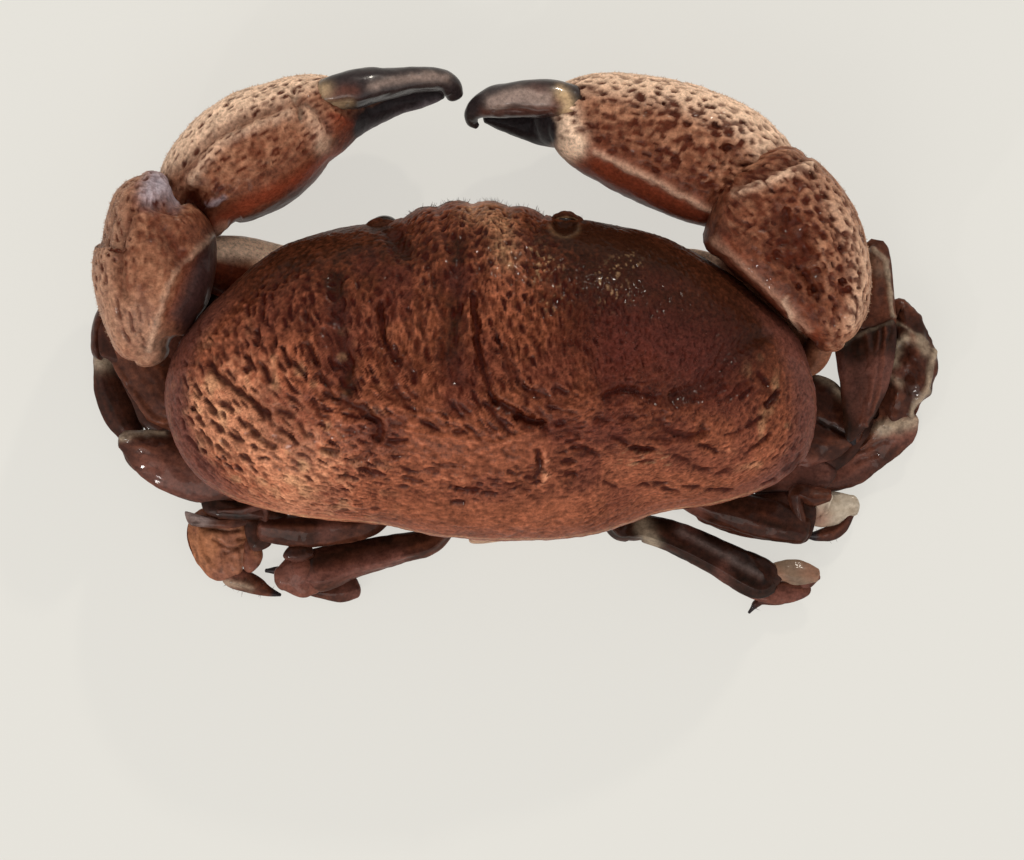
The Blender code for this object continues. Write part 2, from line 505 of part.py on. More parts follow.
def build():
    clear_scene()
    crab = new_collection("dried_reef_crab")
    cutters = new_collection("cutters")
    finish = {name: make_material(name) for name in COLOURS}
    parts = {}

    parts["carapace"] = make_shell(finish["shell"], crab)
    for name in EYES:
        parts[name] = make_eye(name, finish["eye"], crab)
        carve(parts["carapace"], make_orbit_cutter(name, cutters))

    shell_cutter = swollen_copy(parts["carapace"], GAP, cutters)
    parts["breastplate"] = make_belly_part("breastplate", BREASTPLATE, 12, 8, finish["belly"],
                                           crab, 0.7, BREASTPLATE_TOP)
    parts["tail_flap"] = make_belly_part("tail_flap", TAIL_FLAP, 8, 10, finish["belly"],
                                         crab, 0.6, SHELL_TOP)
    breastplate_cutter = swollen_copy(parts["breastplate"], GAP, cutters)
    carve(parts["breastplate"], swollen_copy(parts["tail_flap"], GAP, cutters))
    carve(parts["tail_flap"], shell_cutter)
    for side, sign in (("left", -1), ("right", 1)):
        stations = [(sign * station[0], *station[1:]) for station in MOUTHPART]
        name = "mouthpart_" + side
        parts[name] = make_belly_part(name, stations, 8, 5, finish["belly"], crab, 0.7, SHELL_TOP)
        carve(parts[name], shell_cutter)
        carve(parts[name], breastplate_cutter)

    for name, limb in CLAWS.items():
        colour = "finger" if name.startswith("finger") else "claw"
        dimple = CLAW_DIMPLE if name.startswith(("palm", "wrist")) else 0.0
        stations = limb["stations"]
        if name.startswith("arm"):
            stations = begin_in_breastplate(stations)
        parts[name] = make_limb(name, stations, limb["sides"], limb["rings"],
                                finish[colour], crab, dimple=dimple)
        if name.startswith("arm"):
            carve(parts[name], breastplate_cutter)
    for side in ("left", "right"):
        carve(parts["palm_" + side], swollen_copy(parts["finger_" + side], GAP, cutters))
        carve(parts["wrist_" + side], swollen_copy(parts["palm_" + side], GAP, cutters))
        carve(parts["arm_" + side], swollen_copy(parts["wrist_" + side], GAP, cutters))

    for leg, pieces in LEGS.items():
        carrier, cutter = None, breastplate_cutter
        for piece, stations in pieces.items():
            name = leg + "_" + piece
            colour = "leg_pale" if name in PALE_LEG_PIECES else "leg"
            begun = begin_in(carrier, stations) if carrier else begin_in_breastplate(stations)
            parts[name] = make_limb(name, begun, LEG_PIECES[piece]["sides"],
                                    LEG_PIECES[piece]["rings"], finish[colour], crab)
            carve(parts[name], cutter)
            carrier, cutter = stations, swollen_copy(parts[name], GAP, cutters)
    bpy.context.view_layer.update()
    centre_on_origin(parts.values())


build()
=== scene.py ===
"""Looks for the dried reef crab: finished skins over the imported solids, camera, light and floor.

Lengths are millimetres until the meshes are made, in the modelling frame of the solids' source.
CAD_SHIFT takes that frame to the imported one. Features of a skin are placed in the plan: the place
where a point shows in the 1024 by 860 frame when it is seen from the camera above. Left and right
are those of the view from above.
"""

import math

import bpy
import numpy as np
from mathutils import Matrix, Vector


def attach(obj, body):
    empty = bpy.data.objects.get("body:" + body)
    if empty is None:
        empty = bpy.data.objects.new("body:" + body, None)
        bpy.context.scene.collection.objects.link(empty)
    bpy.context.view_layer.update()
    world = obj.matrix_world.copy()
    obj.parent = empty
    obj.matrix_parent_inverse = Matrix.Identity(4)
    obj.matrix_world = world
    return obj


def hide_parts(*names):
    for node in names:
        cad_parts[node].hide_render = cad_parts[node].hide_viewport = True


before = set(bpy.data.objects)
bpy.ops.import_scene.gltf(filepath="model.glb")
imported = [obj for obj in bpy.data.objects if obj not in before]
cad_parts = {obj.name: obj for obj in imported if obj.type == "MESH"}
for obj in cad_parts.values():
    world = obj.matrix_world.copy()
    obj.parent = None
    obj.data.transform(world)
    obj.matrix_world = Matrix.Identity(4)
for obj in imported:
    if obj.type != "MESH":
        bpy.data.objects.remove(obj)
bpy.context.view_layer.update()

MM = 0.001
CAD_SHIFT = np.array((-2.8217, -4.0914, 0.0))

# The camera looks straight down at LOOKED_AT, which shows at PLAN_MIDDLE. RIM_SCALE is how many
# millimetres one unit of the plan is at the height of the shell's rim.
CAMERA_HEIGHT = 900.0
RIM_SCALE = 0.135
RIM_HEIGHT = 16.0
PLAN_MIDDLE = (512.0, 430.0)
LOOKED_AT = (2.77, -7.83)
SENSOR_WIDTH = 36.0
FRAME_WIDTH = 1024.0

# The body
SHELL_TOP = 35.0
SHELL_RIM_HEIGHT = 18.0
SHELL_FLOOR_HEIGHT = 8.6
SHELL_CENTRE = (-0.5, 0.5)
SHELL_HALF_SIZE = (44.0, 23.0)
COARSE = 1.0
SHELL_COLUMNS = round(420 / COARSE)
SHELL_ROWS = round(228 / COARSE)
SHELL_EDGE_POWER = 1.22
DOME_POWER = 0.62
UNDERSIDE_SECTORS = 480
UNDERSIDE_ROUND_RINGS = 28
UNDERSIDE_FLAT_RINGS = 8
BELLY_TURN = math.radians(8.5)
BREASTPLATE_TOP = 8.2

# Bristles: their sides, the radii of base and tip, the most that they lean and turn in radians, and
# the least and the greatest share of their length
BRISTLE_SIDES = 4
BRISTLE_RADII = (0.035, 0.006)
BRISTLE_LEAN = 0.7
BRISTLE_TURN = 6.28
BRISTLE_SIZES = (0.45, 1.25)

# The eyes, the skin that lies over the left one, and the dip of the shell round the right one
EYES = {"eye_left": (-14.4, 19.7, 18.6), "eye_right": (9.8, 20.0, 18.6)}
EYE_RADIUS = 1.7
LEFT_LID = [
    (-17.6, 17.9, 18.4, 1.1, 1.0), (-16.2, 18.6, 19.1, 1.5, 1.5), (-14.6, 19.0, 19.5, 1.6, 1.7),
    (-13.0, 18.9, 19.6, 1.4, 1.5), (-12.0, 18.6, 19.6, 1.0, 1.1),
]
SOCKET_REACH = 1.55
SOCKET_RIM = 1.95
SOCKET_DEPTH = 2.9
SOCKET_TURNS = 120
SOCKET_SIDES = 28

# A limb piece begins inside the one before it, at these shares of its width and height. The first
# begins inside the breastplate, at a share of its own size and place. Its rounded ends stand out by
# a share of its smallest half size.
NECK_WIDTH = 0.8
NECK_HEIGHT = 0.6
ROOT_SHARE = 0.8
NOSE_POINT = 0.63
CAP_RINGS = 9
PLATE_SECTORS = 140
PLATE_RINGS = 30

# What the finishes read at every point of a skin, and calm, which keeps hollows away
MASKS = ("tone", "pit", "pale", "red", "grey", "gloss", "horn", "calm")
PLAIN_TONE = 0.45

# How far the edges of features wander in the plan, and the half width below which edges are steep
WOBBLE = 1.5
NARROW = 4
# How far a hollow's edge wanders, in millimetres
HOLLOW_WANDER = 0.45

# Outline of the shell from above, clockwise from the notch between the two halves of its front
SHELL_OUTLINE = [
    (-2.8, 22.9), (2.9, 22.4), (9.3, 20.7), (14, 20.3), (22.6, 18.3), (29.5, 14.9), (36.4, 9.7),
    (41.6, 3.9), (43.8, -4), (42.6, -10.8), (38.4, -14.9), (31, -17.7), (22.6, -19), (14, -21.9),
    (3.3, -22.8), (-7.3, -22.1), (-16, -20.4), (-26, -19.5), (-35.5, -16.8), (-41.2, -12.2), (-44, -4),
    (-42, 4), (-36.5, 10.4), (-29, 16.4), (-21.4, 19.2), (-13.6, 20.4), (-8, 22.4),
]
FRONT_LOBES = dict(left=-12.2, right=7.2, count=4, height=0.6)

# A limb is a row of sections: centre x, y, z, half width across, half height
CLAWS = {
    "arm_left": [(-16, 8.6, 4.6, 2.6, 2.8), (-23, 10.8, 4.9, 3.8, 3), (-31, 13.4, 7.6, 4.5, 3.9),
        (-37, 14.5, 9.8, 4.2, 4.2), (-40.2, 14.8, 13, 2.6, 2.6)],
    "wrist_left": [(-45.3, 25.8, 19, 1.8, 3), (-46.4, 22.6, 18.5, 5, 7.2), (-45.3, 17.6, 17.7, 8, 8.9),
        (-45.7, 12.2, 17.5, 8.1, 9), (-46.3, 8, 17.4, 6.7, 8), (-46.5, 4.4, 17.4, 4.7, 6),
        (-45.8, 2.4, 17.4, 2.6, 3.6)],
    "palm_left": [(-40.6, 22.3, 13, 5.4, 6), (-38.9, 25, 12.6, 6.8, 8), (-36, 27.4, 12, 7.9, 9),
        (-32.5, 29.6, 11.6, 8.4, 9.6), (-28.8, 31.8, 11.2, 7.9, 9.5), (-25, 34, 10.8, 6.5, 8.4),
        (-21.5, 35, 9.8, 5.2, 6.4), (-17.6, 35.6, 8.6, 2.6, 4), (-14, 36.9, 8.2, 2.2, 2.8),
        (-10, 37.6, 8.6, 1.6, 2), (-6.9, 38, 9.2, 0.9, 1)],
    "finger_left": [(-22.2, 37.4, 15.4, 2.2, 2.8), (-18.5, 38.2, 15.6, 2.7, 3.2),
        (-14.5, 38.9, 14.8, 2.2, 2.8), (-10.5, 39.5, 13.4, 1.8, 2.3), (-7.2, 39.6, 12, 1.6, 1.9),
        (-5.6, 38.9, 11, 1.6, 1.7), (-5, 37.8, 10.4, 1.25, 1.3)],
    "arm_right": [(13.8, 10.8, 4.8, 2.6, 2.8), (22, 12.8, 5.4, 4, 2.8), (30, 11.8, 7.4, 4.2, 2.9),
        (37.6, 6.6, 8.4, 3.6, 2.9), (42.6, 1.7, 9.8, 2.4, 2.2), (44.8, 4.4, 13, 1.8, 1.8)],
    "wrist_right": [(35.8, 22.9, 17.9, 9, 7.6), (38.5, 20.5, 17.9, 9.4, 8.8), (41.7, 16.8, 17.9, 8.8, 9),
        (43.8, 12.6, 17.6, 7.6, 8.8), (45.2, 8.6, 17.6, 6, 7.6), (45.6, 5.6, 17.6, 4, 5.4),
        (45.6, 4, 17.6, 2, 3)],
    "palm_right": [(35.7, 25.9, 14.2, 7.2, 7), (32.9, 27.4, 13.2, 8.4, 8.6), (29, 28.9, 12.5, 8.9, 9.4),
        (23.7, 30.9, 11.8, 8.8, 9.6), (17.9, 32.8, 11.2, 7.9, 9.2), (13, 34, 10.8, 6.7, 8),
        (9.8, 34.5, 9.8, 4.5, 6.2), (7.2, 33.8, 8.4, 3, 4), (4.4, 34, 8, 2.2, 2.8),
        (1.5, 34.4, 8.2, 1.5, 2), (-0.7, 34.6, 8.8, 0.7, 0.9)],
    "finger_right": [(11, 36.6, 15.4, 2.3, 2.8), (7.6, 36.9, 15.6, 2.7, 3.2), (4, 36.8, 14.8, 2.5, 2.9),
        (0.6, 36.6, 13.4, 2.2, 2.4), (-1.6, 36, 12.2, 1.5, 1.8), (-2.7, 35, 11.2, 1, 1.3),
        (-2.7, 34.1, 10.6, 0.8, 0.9), (-2.1, 33.5, 10.3, 0.4, 0.5)],
}
LEGS = {
    "leg1_left": {
        "thigh": [(-18.2, 4, 4.6, 2.1, 2.1), (-28, 0.5, 5.4, 2.9, 2.3), (-37, -4.2, 6.1, 3.2, 2.1),
            (-43.6, -4.1, 6.2, 3.9, 2), (-46.4, 0, 6.2, 3.8, 1.9), (-48.9, 4, 6.2, 3.5, 1.8),
            (-51, 7, 6.2, 1.7, 1.4)],
        "knee": [(-52.6, 8.6, 5.6, 0.9, 1.3), (-53.8, 6.2, 5.2, 0.9, 1.5), (-53.9, 3.3, 4.6, 0.9, 1.3)],
        "shin": [(-53.4, 1.6, 2.4, 1.2, 1.1), (-52.4, -2, 2.3, 2.2, 1.3), (-50.6, -5.8, 2.2, 2.5, 1.3),
            (-49, -8.6, 2.1, 1.7, 1.1)],
        "tip": [(-47.3, -9.9, 2, 1, 0.9), (-45.2, -8.8, 1.8, 0.9, 0.8), (-42.2, -7.2, 1.6, 0.3, 0.3)],
    },
    "leg2_left": {
        "thigh": [(-18.8, -2.6, 4.6, 2.1, 2.1), (-26.5, -8.8, 5.2, 2.9, 2.2), (-34.8, -14, 5.9, 3.6, 2.1),
            (-40.8, -12.8, 6, 4.6, 2), (-46, -11.1, 6, 3.7, 1.8), (-50.2, -9.2, 6, 1.3, 1.2)],
        "knee": [(-49.4, -11.4, 3, 0.9, 0.9), (-48.4, -12.3, 2.6, 1.1, 1), (-47.2, -13, 2.3, 1, 1)],
        "shin": [(-46, -14, 2.2, 1.2, 1), (-43.2, -15.2, 2.2, 1.7, 1.2), (-40.2, -16.4, 2.2, 1.4, 1.1)],
        "tip": [(-39, -17, 2.2, 1.1, 1), (-36.6, -18.2, 2, 0.9, 0.8), (-34.4, -18.6, 1.6, 0.3, 0.3)],
    },
    "leg3_left": {
        "thigh": [(-14.6, -11, 4.6, 1.8, 2), (-14, -17, 5, 1.8, 2), (-17, -20.6, 5.4, 1.9, 1.9),
            (-22, -21.5, 5.7, 2.1, 1.8), (-27, -21.6, 5.8, 2.2, 1.7), (-31.2, -21.4, 5.8, 1.7, 1.4)],
        "knee": [(-31, -18.3, 6, 0.9, 1.3), (-34, -18.9, 5.9, 1.1, 1.3), (-37.2, -19, 5.6, 1, 1.2)],
        "shin": [(-37.3, -19.7, 2.9, 4, 1), (-37, -21.7, 2.8, 4.9, 1.2), (-36.5, -24.3, 2.6, 4.5, 1.2),
            (-35.9, -26.8, 2.4, 3.1, 1)],
        "tip": [(-35.2, -28, 2, 1.6, 0.9), (-32.6, -29.1, 1.7, 1.35, 0.8),
            (-30.9, -29.9, 1.4, 0.75, 0.55), (-29, -30.5, 1.2, 0.25, 0.25)],
    },
    "leg4_left": {
        "thigh": [(-9.4, -17.4, 4.4, 1.7, 1.9), (-6.6, -20, 4.6, 1.7, 1.8), (-8.4, -23, 4.6, 1.8, 1.8),
            (-13, -24.1, 4.6, 2.1, 1.7), (-18.6, -25.4, 4.6, 2.5, 1.7), (-23.6, -27, 4.6, 3, 1.6)],
        "knee": [(-26.4, -27.7, 4.3, 3.1, 1.4), (-28.8, -28.2, 4.1, 1.7, 1)],
        "shin": [(-26.6, -29.4, 1.8, 0.6, 0.7), (-23, -29.8, 1.7, 1.3, 0.9), (-20.8, -29.7, 1.7, 1.8, 1),
            (-18.9, -29.3, 1.7, 1.6, 0.9)],
        "tip": [(-21.4, -27.2, 1.4, 0.9, 0.7), (-26.6, -27.1, 1.4, 0.8, 0.6),
            (-31, -27.1, 1.2, 0.3, 0.3)],
    },
    "leg1_right": {
        "thigh": [(17.2, 5.6, 3.4, 2.1, 1.7), (27, 4.8, 3.5, 2.8, 1.7), (36, 4.8, 3.5, 3.2, 1.6),
            (43, 6.3, 3.5, 3.4, 1.6), (48.4, 10, 3.6, 3, 1.5), (51, 13.6, 3.8, 1.6, 1.3)],
        "knee": [(52.4, 16.9, 6.6, 1.5, 1.1), (52.8, 12.5, 6.8, 2, 1.2), (51.7, 7, 6.8, 3.5, 1.2)],
        "shin": [(51.4, 4.2, 6.7, 3.3, 1.2), (50.9, 1, 6.6, 3, 1.2), (50.5, -2.8, 6.6, 2.3, 1.1),
            (50.1, -5.7, 6.5, 1.6, 1)],
        "tip": [(49.7, -7.1, 6.3, 1.3, 0.9), (49.1, -8.5, 6.1, 0.9, 0.7), (49.5, -9.8, 5.9, 0.3, 0.3)],
    },
    "leg2_right": {
        "thigh": [(18, -1.8, 4.2, 2.1, 1.9), (28, -5.8, 3.9, 2.9, 1.7), (37, -7, 3.8, 4.4, 1.4),
            (43.4, -6.7, 3.8, 6.5, 1.3), (47.2, -7.4, 3.8, 4.6, 1.2), (49.8, -7.6, 3.8, 2, 1)],
        "knee": [(55.4, 8.6, 5, 0.9, 1.3), (57.5, 5.2, 5.2, 2.4, 1.8), (57.8, 1.5, 5.2, 3, 1.9),
            (56.5, -2.4, 5, 2.8, 1.8), (55.4, -5.1, 4.8, 2.6, 1.5)],
        "shin": [(55.2, -7.5, 3.6, 3.2, 1.4), (53.2, -10, 2.6, 2.7, 1.3), (49.6, -13.1, 1.6, 2.3, 1.1),
            (46, -15, 1.5, 1.4, 1)],
        "tip": [(44.4, -15.5, 1.5, 1, 0.9), (40.8, -15.4, 1.4, 0.8, 0.7), (37, -14.6, 1.2, 0.3, 0.3)],
    },
    "leg3_right": {
        "thigh": [(16, -8, 4.3, 1.9, 2), (22, -13.4, 4.6, 2, 1.9), (28.5, -17.7, 4.8, 2, 1.8),
            (34, -19.1, 4.8, 2.6, 1.7), (39, -20.3, 4.7, 2.8, 1.6), (42.6, -21.5, 4.5, 1.9, 1.3)],
        "knee": [(41.6, -16.6, 5.2, 1.1, 1.2), (44, -16.9, 5, 1.3, 1.2), (46, -16.8, 4.8, 0.9, 1)],
        "shin": [(44.6, -19.1, 2.5, 1.8, 0.9), (47, -18.6, 2.4, 2.3, 1), (49.6, -18.2, 2.3, 1.5, 0.8)],
        "tip": [(48.2, -20.9, 2.1, 0.9, 0.8), (46.2, -22.1, 2.1, 1.1, 0.9), (43.6, -22.4, 2.1, 0.5, 0.5)],
    },
    "leg4_right": {
        "thigh": [(12.8, -14, 4.3, 1.7, 1.9), (17.3, -20.6, 4.4, 2, 2), (19, -21.6, 4.5, 1.4, 1.5),
            (21, -21.3, 4.6, 1.9, 1.8), (26, -22.9, 4.5, 2.3, 1.8), (31, -25.3, 4.4, 2.5, 1.7),
            (36.6, -28.2, 4.2, 2.8, 1.5)],
        "knee": [(39.4, -27.2, 4, 1.4, 1.1), (41.8, -27.3, 3.9, 1.8, 1.1), (44.4, -27.7, 3.8, 1, 0.8)],
        "shin": [(42, -29.6, 1.6, 1, 0.8), (39.4, -30.4, 1.5, 1.4, 0.9), (37.4, -31, 1.5, 0.9, 0.8)],
        "tip": [(36.4, -31.6, 1.3, 0.6, 0.6), (35.9, -32.2, 1.2, 0.4, 0.4), (35.3, -32.9, 1.1, 0.2, 0.2)],
    },
}
BREASTPLATE = [
    (0, 12.6, 4.4, 7, 3.6), (0, 9.5, 4.4, 12, 5), (0, 4, 4.4, 15.3, 5.6), (0, -3, 4.4, 16, 5.8),
    (0, -9, 4.4, 14.2, 5.6), (0, -14.5, 4.4, 9.6, 5), (0, -17, 4.6, 5.4, 3.6),
]
TAIL_FLAP = [
    (0, -21.2, 14.6, 5.8, 0.9), (0, -22, 10.4, 6.4, 0.9), (0, -21.6, 6.2, 6.4, 0.9),
    (0, -19.4, 2.8, 6.2, 1), (0, -15, 1.2, 5.8, 1.5), (0, -8, 0.9, 5, 1.5), (0, -1, 0.9, 4, 1.5),
    (0, 3.6, 0.9, 2.2, 1.4),
]
MOUTHPART = [
    (3.4, 21.2, 14, 2.8, 0.9), (3.7, 19.9, 9.4, 3.3, 1), (3.6, 17.8, 5.2, 3.2, 1),
    (3, 14.4, 2.6, 2.2, 0.9),
]

# The underside's seams: along the tail flap from its upper end, which goes down to the bend and then
# forwards, across the breastplate, and up the mouthparts. Only the tail flap lies on the floor, and
# no other part of the underside comes lower than FLAT_HEIGHT.
TAIL_SEAMS = (2.6, 5.8, 9.4, 14.5, 19.0, 23.5, 28.5)
TAIL_BEND_HEIGHT = 3.2
TAIL_BEND_WALK = 33.4
BREASTPLATE_SEAMS = (-13.5, -10.5, -6.8, -2.8, 1.4, 5.6)
MOUTHPART_SEAMS = (4.2, 7.6, 11.5)
SEAM_HALF_WIDTH = 0.22
SEAM_DEPTH = 0.22
FLAT_HEIGHT = 0.35

# Furrows, swellings, slits and colours of a skin, in groups under the mask that they mark. A row
# holds the half width, the depth in millimetres (negative is raised), how strong the mark is, and
# the points of the path in the plan.
SHELL_FEATURES = [
    ("tone", (8, 0.9, -0.38, (459, 240), (457, 300), (453, 350), (456, 378)),
     (15, 0.5, -0.1, (445, 300), (448, 350))),
    ("pit", (3.6, 1.1, 0.75, (473, 295), (477, 340), (484, 374), (495, 403)),
     (4.5, 1, 0.7, (495, 403), (512, 412), (530, 420), (541, 424)),
     (3, 0.7, 0.6, (503, 347), (512, 365), (519, 383), (530, 396)),
     (2.6, 0.6, 0.5, (493, 330), (505, 360), (512, 388)),
     (2.4, 0.5, 0.7, (484, 404), (498, 420), (512, 434))),
    ("tone", (8, 1.2, -0.55, (334, 280), (339, 320), (343, 347), (350, 390))),
    ("pit", (3.5, 0.7, 0.7, (305, 315), (308, 330)), (4, 0.9, 0.8, (308, 345), (316, 366)),
     (3, 0.6, 0.7, (296, 366), (304, 376)), (3.5, 0.7, 0.8, (284, 350), (289, 364)),
     (4, 0.8, 0.8, (262, 368), (268, 380)), (3, 0.6, 0.6, (255, 332), (257, 344)),
     (3, 0.6, 0.7, (246, 356), (249, 368)), (3, 0.5, 0.5, (273, 326), (274, 342)),
     (3, 0.6, 0.5, (323, 330), (330, 352), (338, 368)), (2.4, 0.5, 0.8, (194, 384), (200, 394)),
     (2.6, 0.5, 0.8, (205, 400), (213, 411)), (2.2, 0.45, 0.7, (192, 406), (198, 418)),
     (2.6, 0.5, 0.8, (211, 422), (221, 431)), (2.2, 0.45, 0.7, (200, 432), (207, 442)),
     (2.8, 0.5, 0.8, (222, 402), (231, 411)), (2.6, 0.5, 0.8, (229, 434), (242, 442)),
     (2.6, 0.5, 0.7, (246, 424), (258, 434)), (2.2, 0.45, 0.7, (216, 446), (226, 456)),
     (2.6, 0.5, 0.7, (262, 440), (274, 447)), (2.4, 0.45, 0.8, (240, 456), (252, 464)),
     (3, 0.5, 0.7, (280, 430), (292, 438)), (3, 0.5, 0.6, (298, 424), (306, 436)),
     (3, 0.7, 0.6, (318, 375), (330, 384)), (3, 0.5, 0.5, (402, 360), (412, 376)),
     (3, 0.5, 0.4, (420, 300), (424, 340)), (3, 0.45, 0.4, (432, 268), (436, 300)),
     (3, 0.5, 0.4, (408, 310), (412, 336)), (2.8, 0.45, 0.4, (438, 340), (442, 372)),
     (5, 1, 0.7, (325, 394), (339, 400), (354, 407), (370, 416), (380, 427), (378, 438)),
     (4, 0.55, 0.25, (378, 438), (365, 454), (350, 463), (345, 478)),
     (4, 1.1, 0.85, (381, 304), (381, 327), (388, 349), (397, 360)),
     (4.5, 1, 0.8, (209, 362), (216, 374), (234, 389), (249, 400), (266, 415)),
     (4.5, 0.8, 0.8, (278, 411), (289, 414)), (4.5, 0.7, 0.7, (396, 391), (405, 401)),
     (3.5, 0.6, 0.9, (424, 423), (437, 430)), (4, 0.6, 0.7, (453, 409), (461, 416)),
     (3, 0.5, 0.7, (455, 432), (464, 433)), (2.5, 0.5, 0.8, (390, 440), (407, 441)),
     (2.5, 0.45, 0.7, (322, 449), (338, 451)), (3, 0.5, 0.6, (312, 401), (320, 409)),
     (2.5, 0.45, 0.8, (366, 473), (373, 475)), (2.5, 0.45, 0.6, (404, 478), (420, 481)),
     (2.4, 0.5, 1, (456, 489), (476, 491)), (2, 0.4, 0.8, (482, 493), (496, 494)),
     (2, 0.4, 0.8, (451, 503), (463, 503)), (2.5, 0.3, 0.35, (441, 464), (463, 466)),
     (4.5, 1.1, 0.8, (604, 399), (612, 392), (624, 389), (642, 393), (656, 398)),
     (3.5, 0.6, 0.7, (556, 388), (566, 394)), (4, 0.6, 0.6, (535, 391), (550, 401)),
     (5, 0.9, 0.8, (520, 416), (532, 423), (543, 424))),
    ("tone", (8, 1.5, -0.5, (675, 397), (697, 388), (715, 373), (731, 351), (762, 335))),
    ("pit", (4, 0.6, 0.6, (695, 401), (713, 396), (724, 386)),
     (4, 0.7, 0.7, (660, 420), (668, 430), (680, 436), (693, 436), (704, 429)),
     (3, 0.5, 0.5, (728, 399), (738, 389), (745, 384)), (3, 0.5, 0.7, (768, 404), (777, 391)),
     (2.6, 0.5, 0.7, (752, 448), (764, 440), (769, 434)), (2.8, 0.5, 1, (635, 449), (653, 450)),
     (2.4, 0.4, 0.7, (575, 448), (594, 451)), (2.4, 0.4, 0.8, (700, 446), (716, 449)),
     (3, 0.5, 0.7, (597, 419), (608, 422)), (3, 0.5, 0.6, (620, 418), (634, 417)),
     (3.5, 0.5, 0.5, (567, 431), (580, 437)), (2.4, 0.4, 0.8, (566, 474), (576, 475)),
     (2, 0.4, 0.9, (641, 485), (648, 486)), (2, 0.4, 0.8, (662, 489), (677, 492)),
     (1.8, 0.45, 1, (708, 491), (732, 490)), (1.8, 0.35, 0.8, (683, 487), (699, 488)),
     (1.8, 0.35, 0.8, (763, 484), (776, 480)), (3.5, 0.35, 0.7, (800, 457), (796, 464), (786, 471))),
    ("tone", (2.2, -0.35, 0.1, (406, 430), (437, 436), (473, 440), (500, 443), (517, 437), (543, 428)),
     (3, -0.5, 0.25, (543, 450), (547, 463), (543, 482))),
    ("pit", (3, 0.6, 0.8, (537, 452), (540, 466), (536, 478))),
    ("tone", (4, -0.3, 0.35, (541, 470), (549, 476))),
    ("pit", (5, 0.35, 0.35, (523, 488), (539, 500)), (2.8, 0.5, 1, (630, 449), (648, 450)),
     (2.6, 0.5, 0.9, (768, 405), (779, 391)), (2.4, 0.4, 0.9, (747, 426), (760, 417)),
     (2.4, 0.4, 0.8, (612, 438), (626, 443)), (2.4, 0.4, 0.8, (676, 457), (688, 463)),
     (2.4, 0.4, 0.8, (706, 446), (717, 452)), (2.2, 0.4, 0.7, (640, 462), (652, 462)),
     (2.2, 0.4, 0.8, (655, 484), (666, 484)), (2.4, 0.4, 0.7, (726, 434), (740, 430)),
     (2.2, 0.4, 0.8, (604, 482), (616, 487)), (2.4, 0.4, 0.7, (586, 452), (598, 455)),
     (2.6, 0.5, 0.8, (760, 374), (768, 384)), (2.6, 0.5, 0.8, (742, 398), (752, 388)),
     (2.2, 0.4, 0.6, (650, 438), (672, 441)), (2.2, 0.4, 0.7, (694, 468), (708, 470)),
     (2.2, 0.4, 0.6, (716, 474), (728, 470))),
    ("gloss", (3.5, -0.4, 0.8, (668, 410), (674, 410))),
    ("tone", (32, -0.45, 0, (290, 300), (315, 370)), (36, -0.5, 0, (590, 300), (640, 350)),
     (30, -0.4, 0.05, (735, 440), (770, 430)), (8, 0.9, -0.35, (395, 238), (406, 252)),
     (7, 0.3, -0.25, (376, 224), (392, 234)), (14, 0, -0.22, (540, 240), (600, 235), (660, 262))),
    ("calm", (15, 0, 2, (420, 440), (475, 455), (535, 448)), (16, 0, 3, (400, 520), (560, 522)),
     (24, 0, 1.3, (215, 300), (255, 262), (340, 240), (365, 232)),
     (26, 0, 1.3, (575, 235), (680, 255), (760, 310), (795, 360))),
    ("tone", (60, 0, 0.5, (240, 410), (300, 480)), (18, 0, 0.3, (190, 395), (215, 440)),
     (40, 0, -0.12, (620, 350), (690, 370)), (36, 0, 0.15, (620, 480), (780, 460)),
     (40, 0, 0.07, (430, 500), (560, 520)), (22, 0, 0.05, (440, 460), (520, 458)),
     (22, 0, -0.06, (770, 400), (790, 440)),
     (20, 0, 0.08, (440, 215), (500, 215), (520, 260), (500, 300)),
     (15, 0, 0.1, (478, 212), (502, 222), (506, 262), (498, 296)),
     (30, 0, -0.06, (300, 245), (360, 245))),
    ("pale", (14, 0, 0.22, (476, 210), (500, 220), (506, 256))),
    ("tone", (34, 0, -0.2, (240, 270), (330, 250), (380, 260)),
     (46, 0, -0.24, (600, 250), (720, 280), (740, 320))),
    ("red", (44, 0, 0.7, (620, 340), (700, 360))),
    ("tone", (46, 0, -0.36, (600, 300), (720, 340))),
    ("calm", (40, 0, 0.25, (620, 290), (700, 310))),
    ("tone", (9, 0.3, -0.1, (238, 300), (275, 280), (300, 262)),
     (16, -0.35, 0.06, (646, 300), (655, 360)), (12, 0.35, -0.08, (600, 330), (606, 380))),
    ("red", (30, 0, 0.3, (560, 440), (640, 430)), (26, 0, 0.25, (250, 330), (300, 300))),
    ("grey", (18, 0, 0.25, (356, 460), (372, 430))),
]

# Where the shell has bright, rough grains
BRIGHT_ZONES = [
    ((534, 272), (556, 268)), ((600, 280), (620, 266), (632, 262)), ((608, 300), (622, 292)),
    ((548, 306), (560, 296)), ((465, 212), (498, 222), (505, 262)), ((625, 458), (662, 462)),
    ((535, 250), (545, 262)),
]

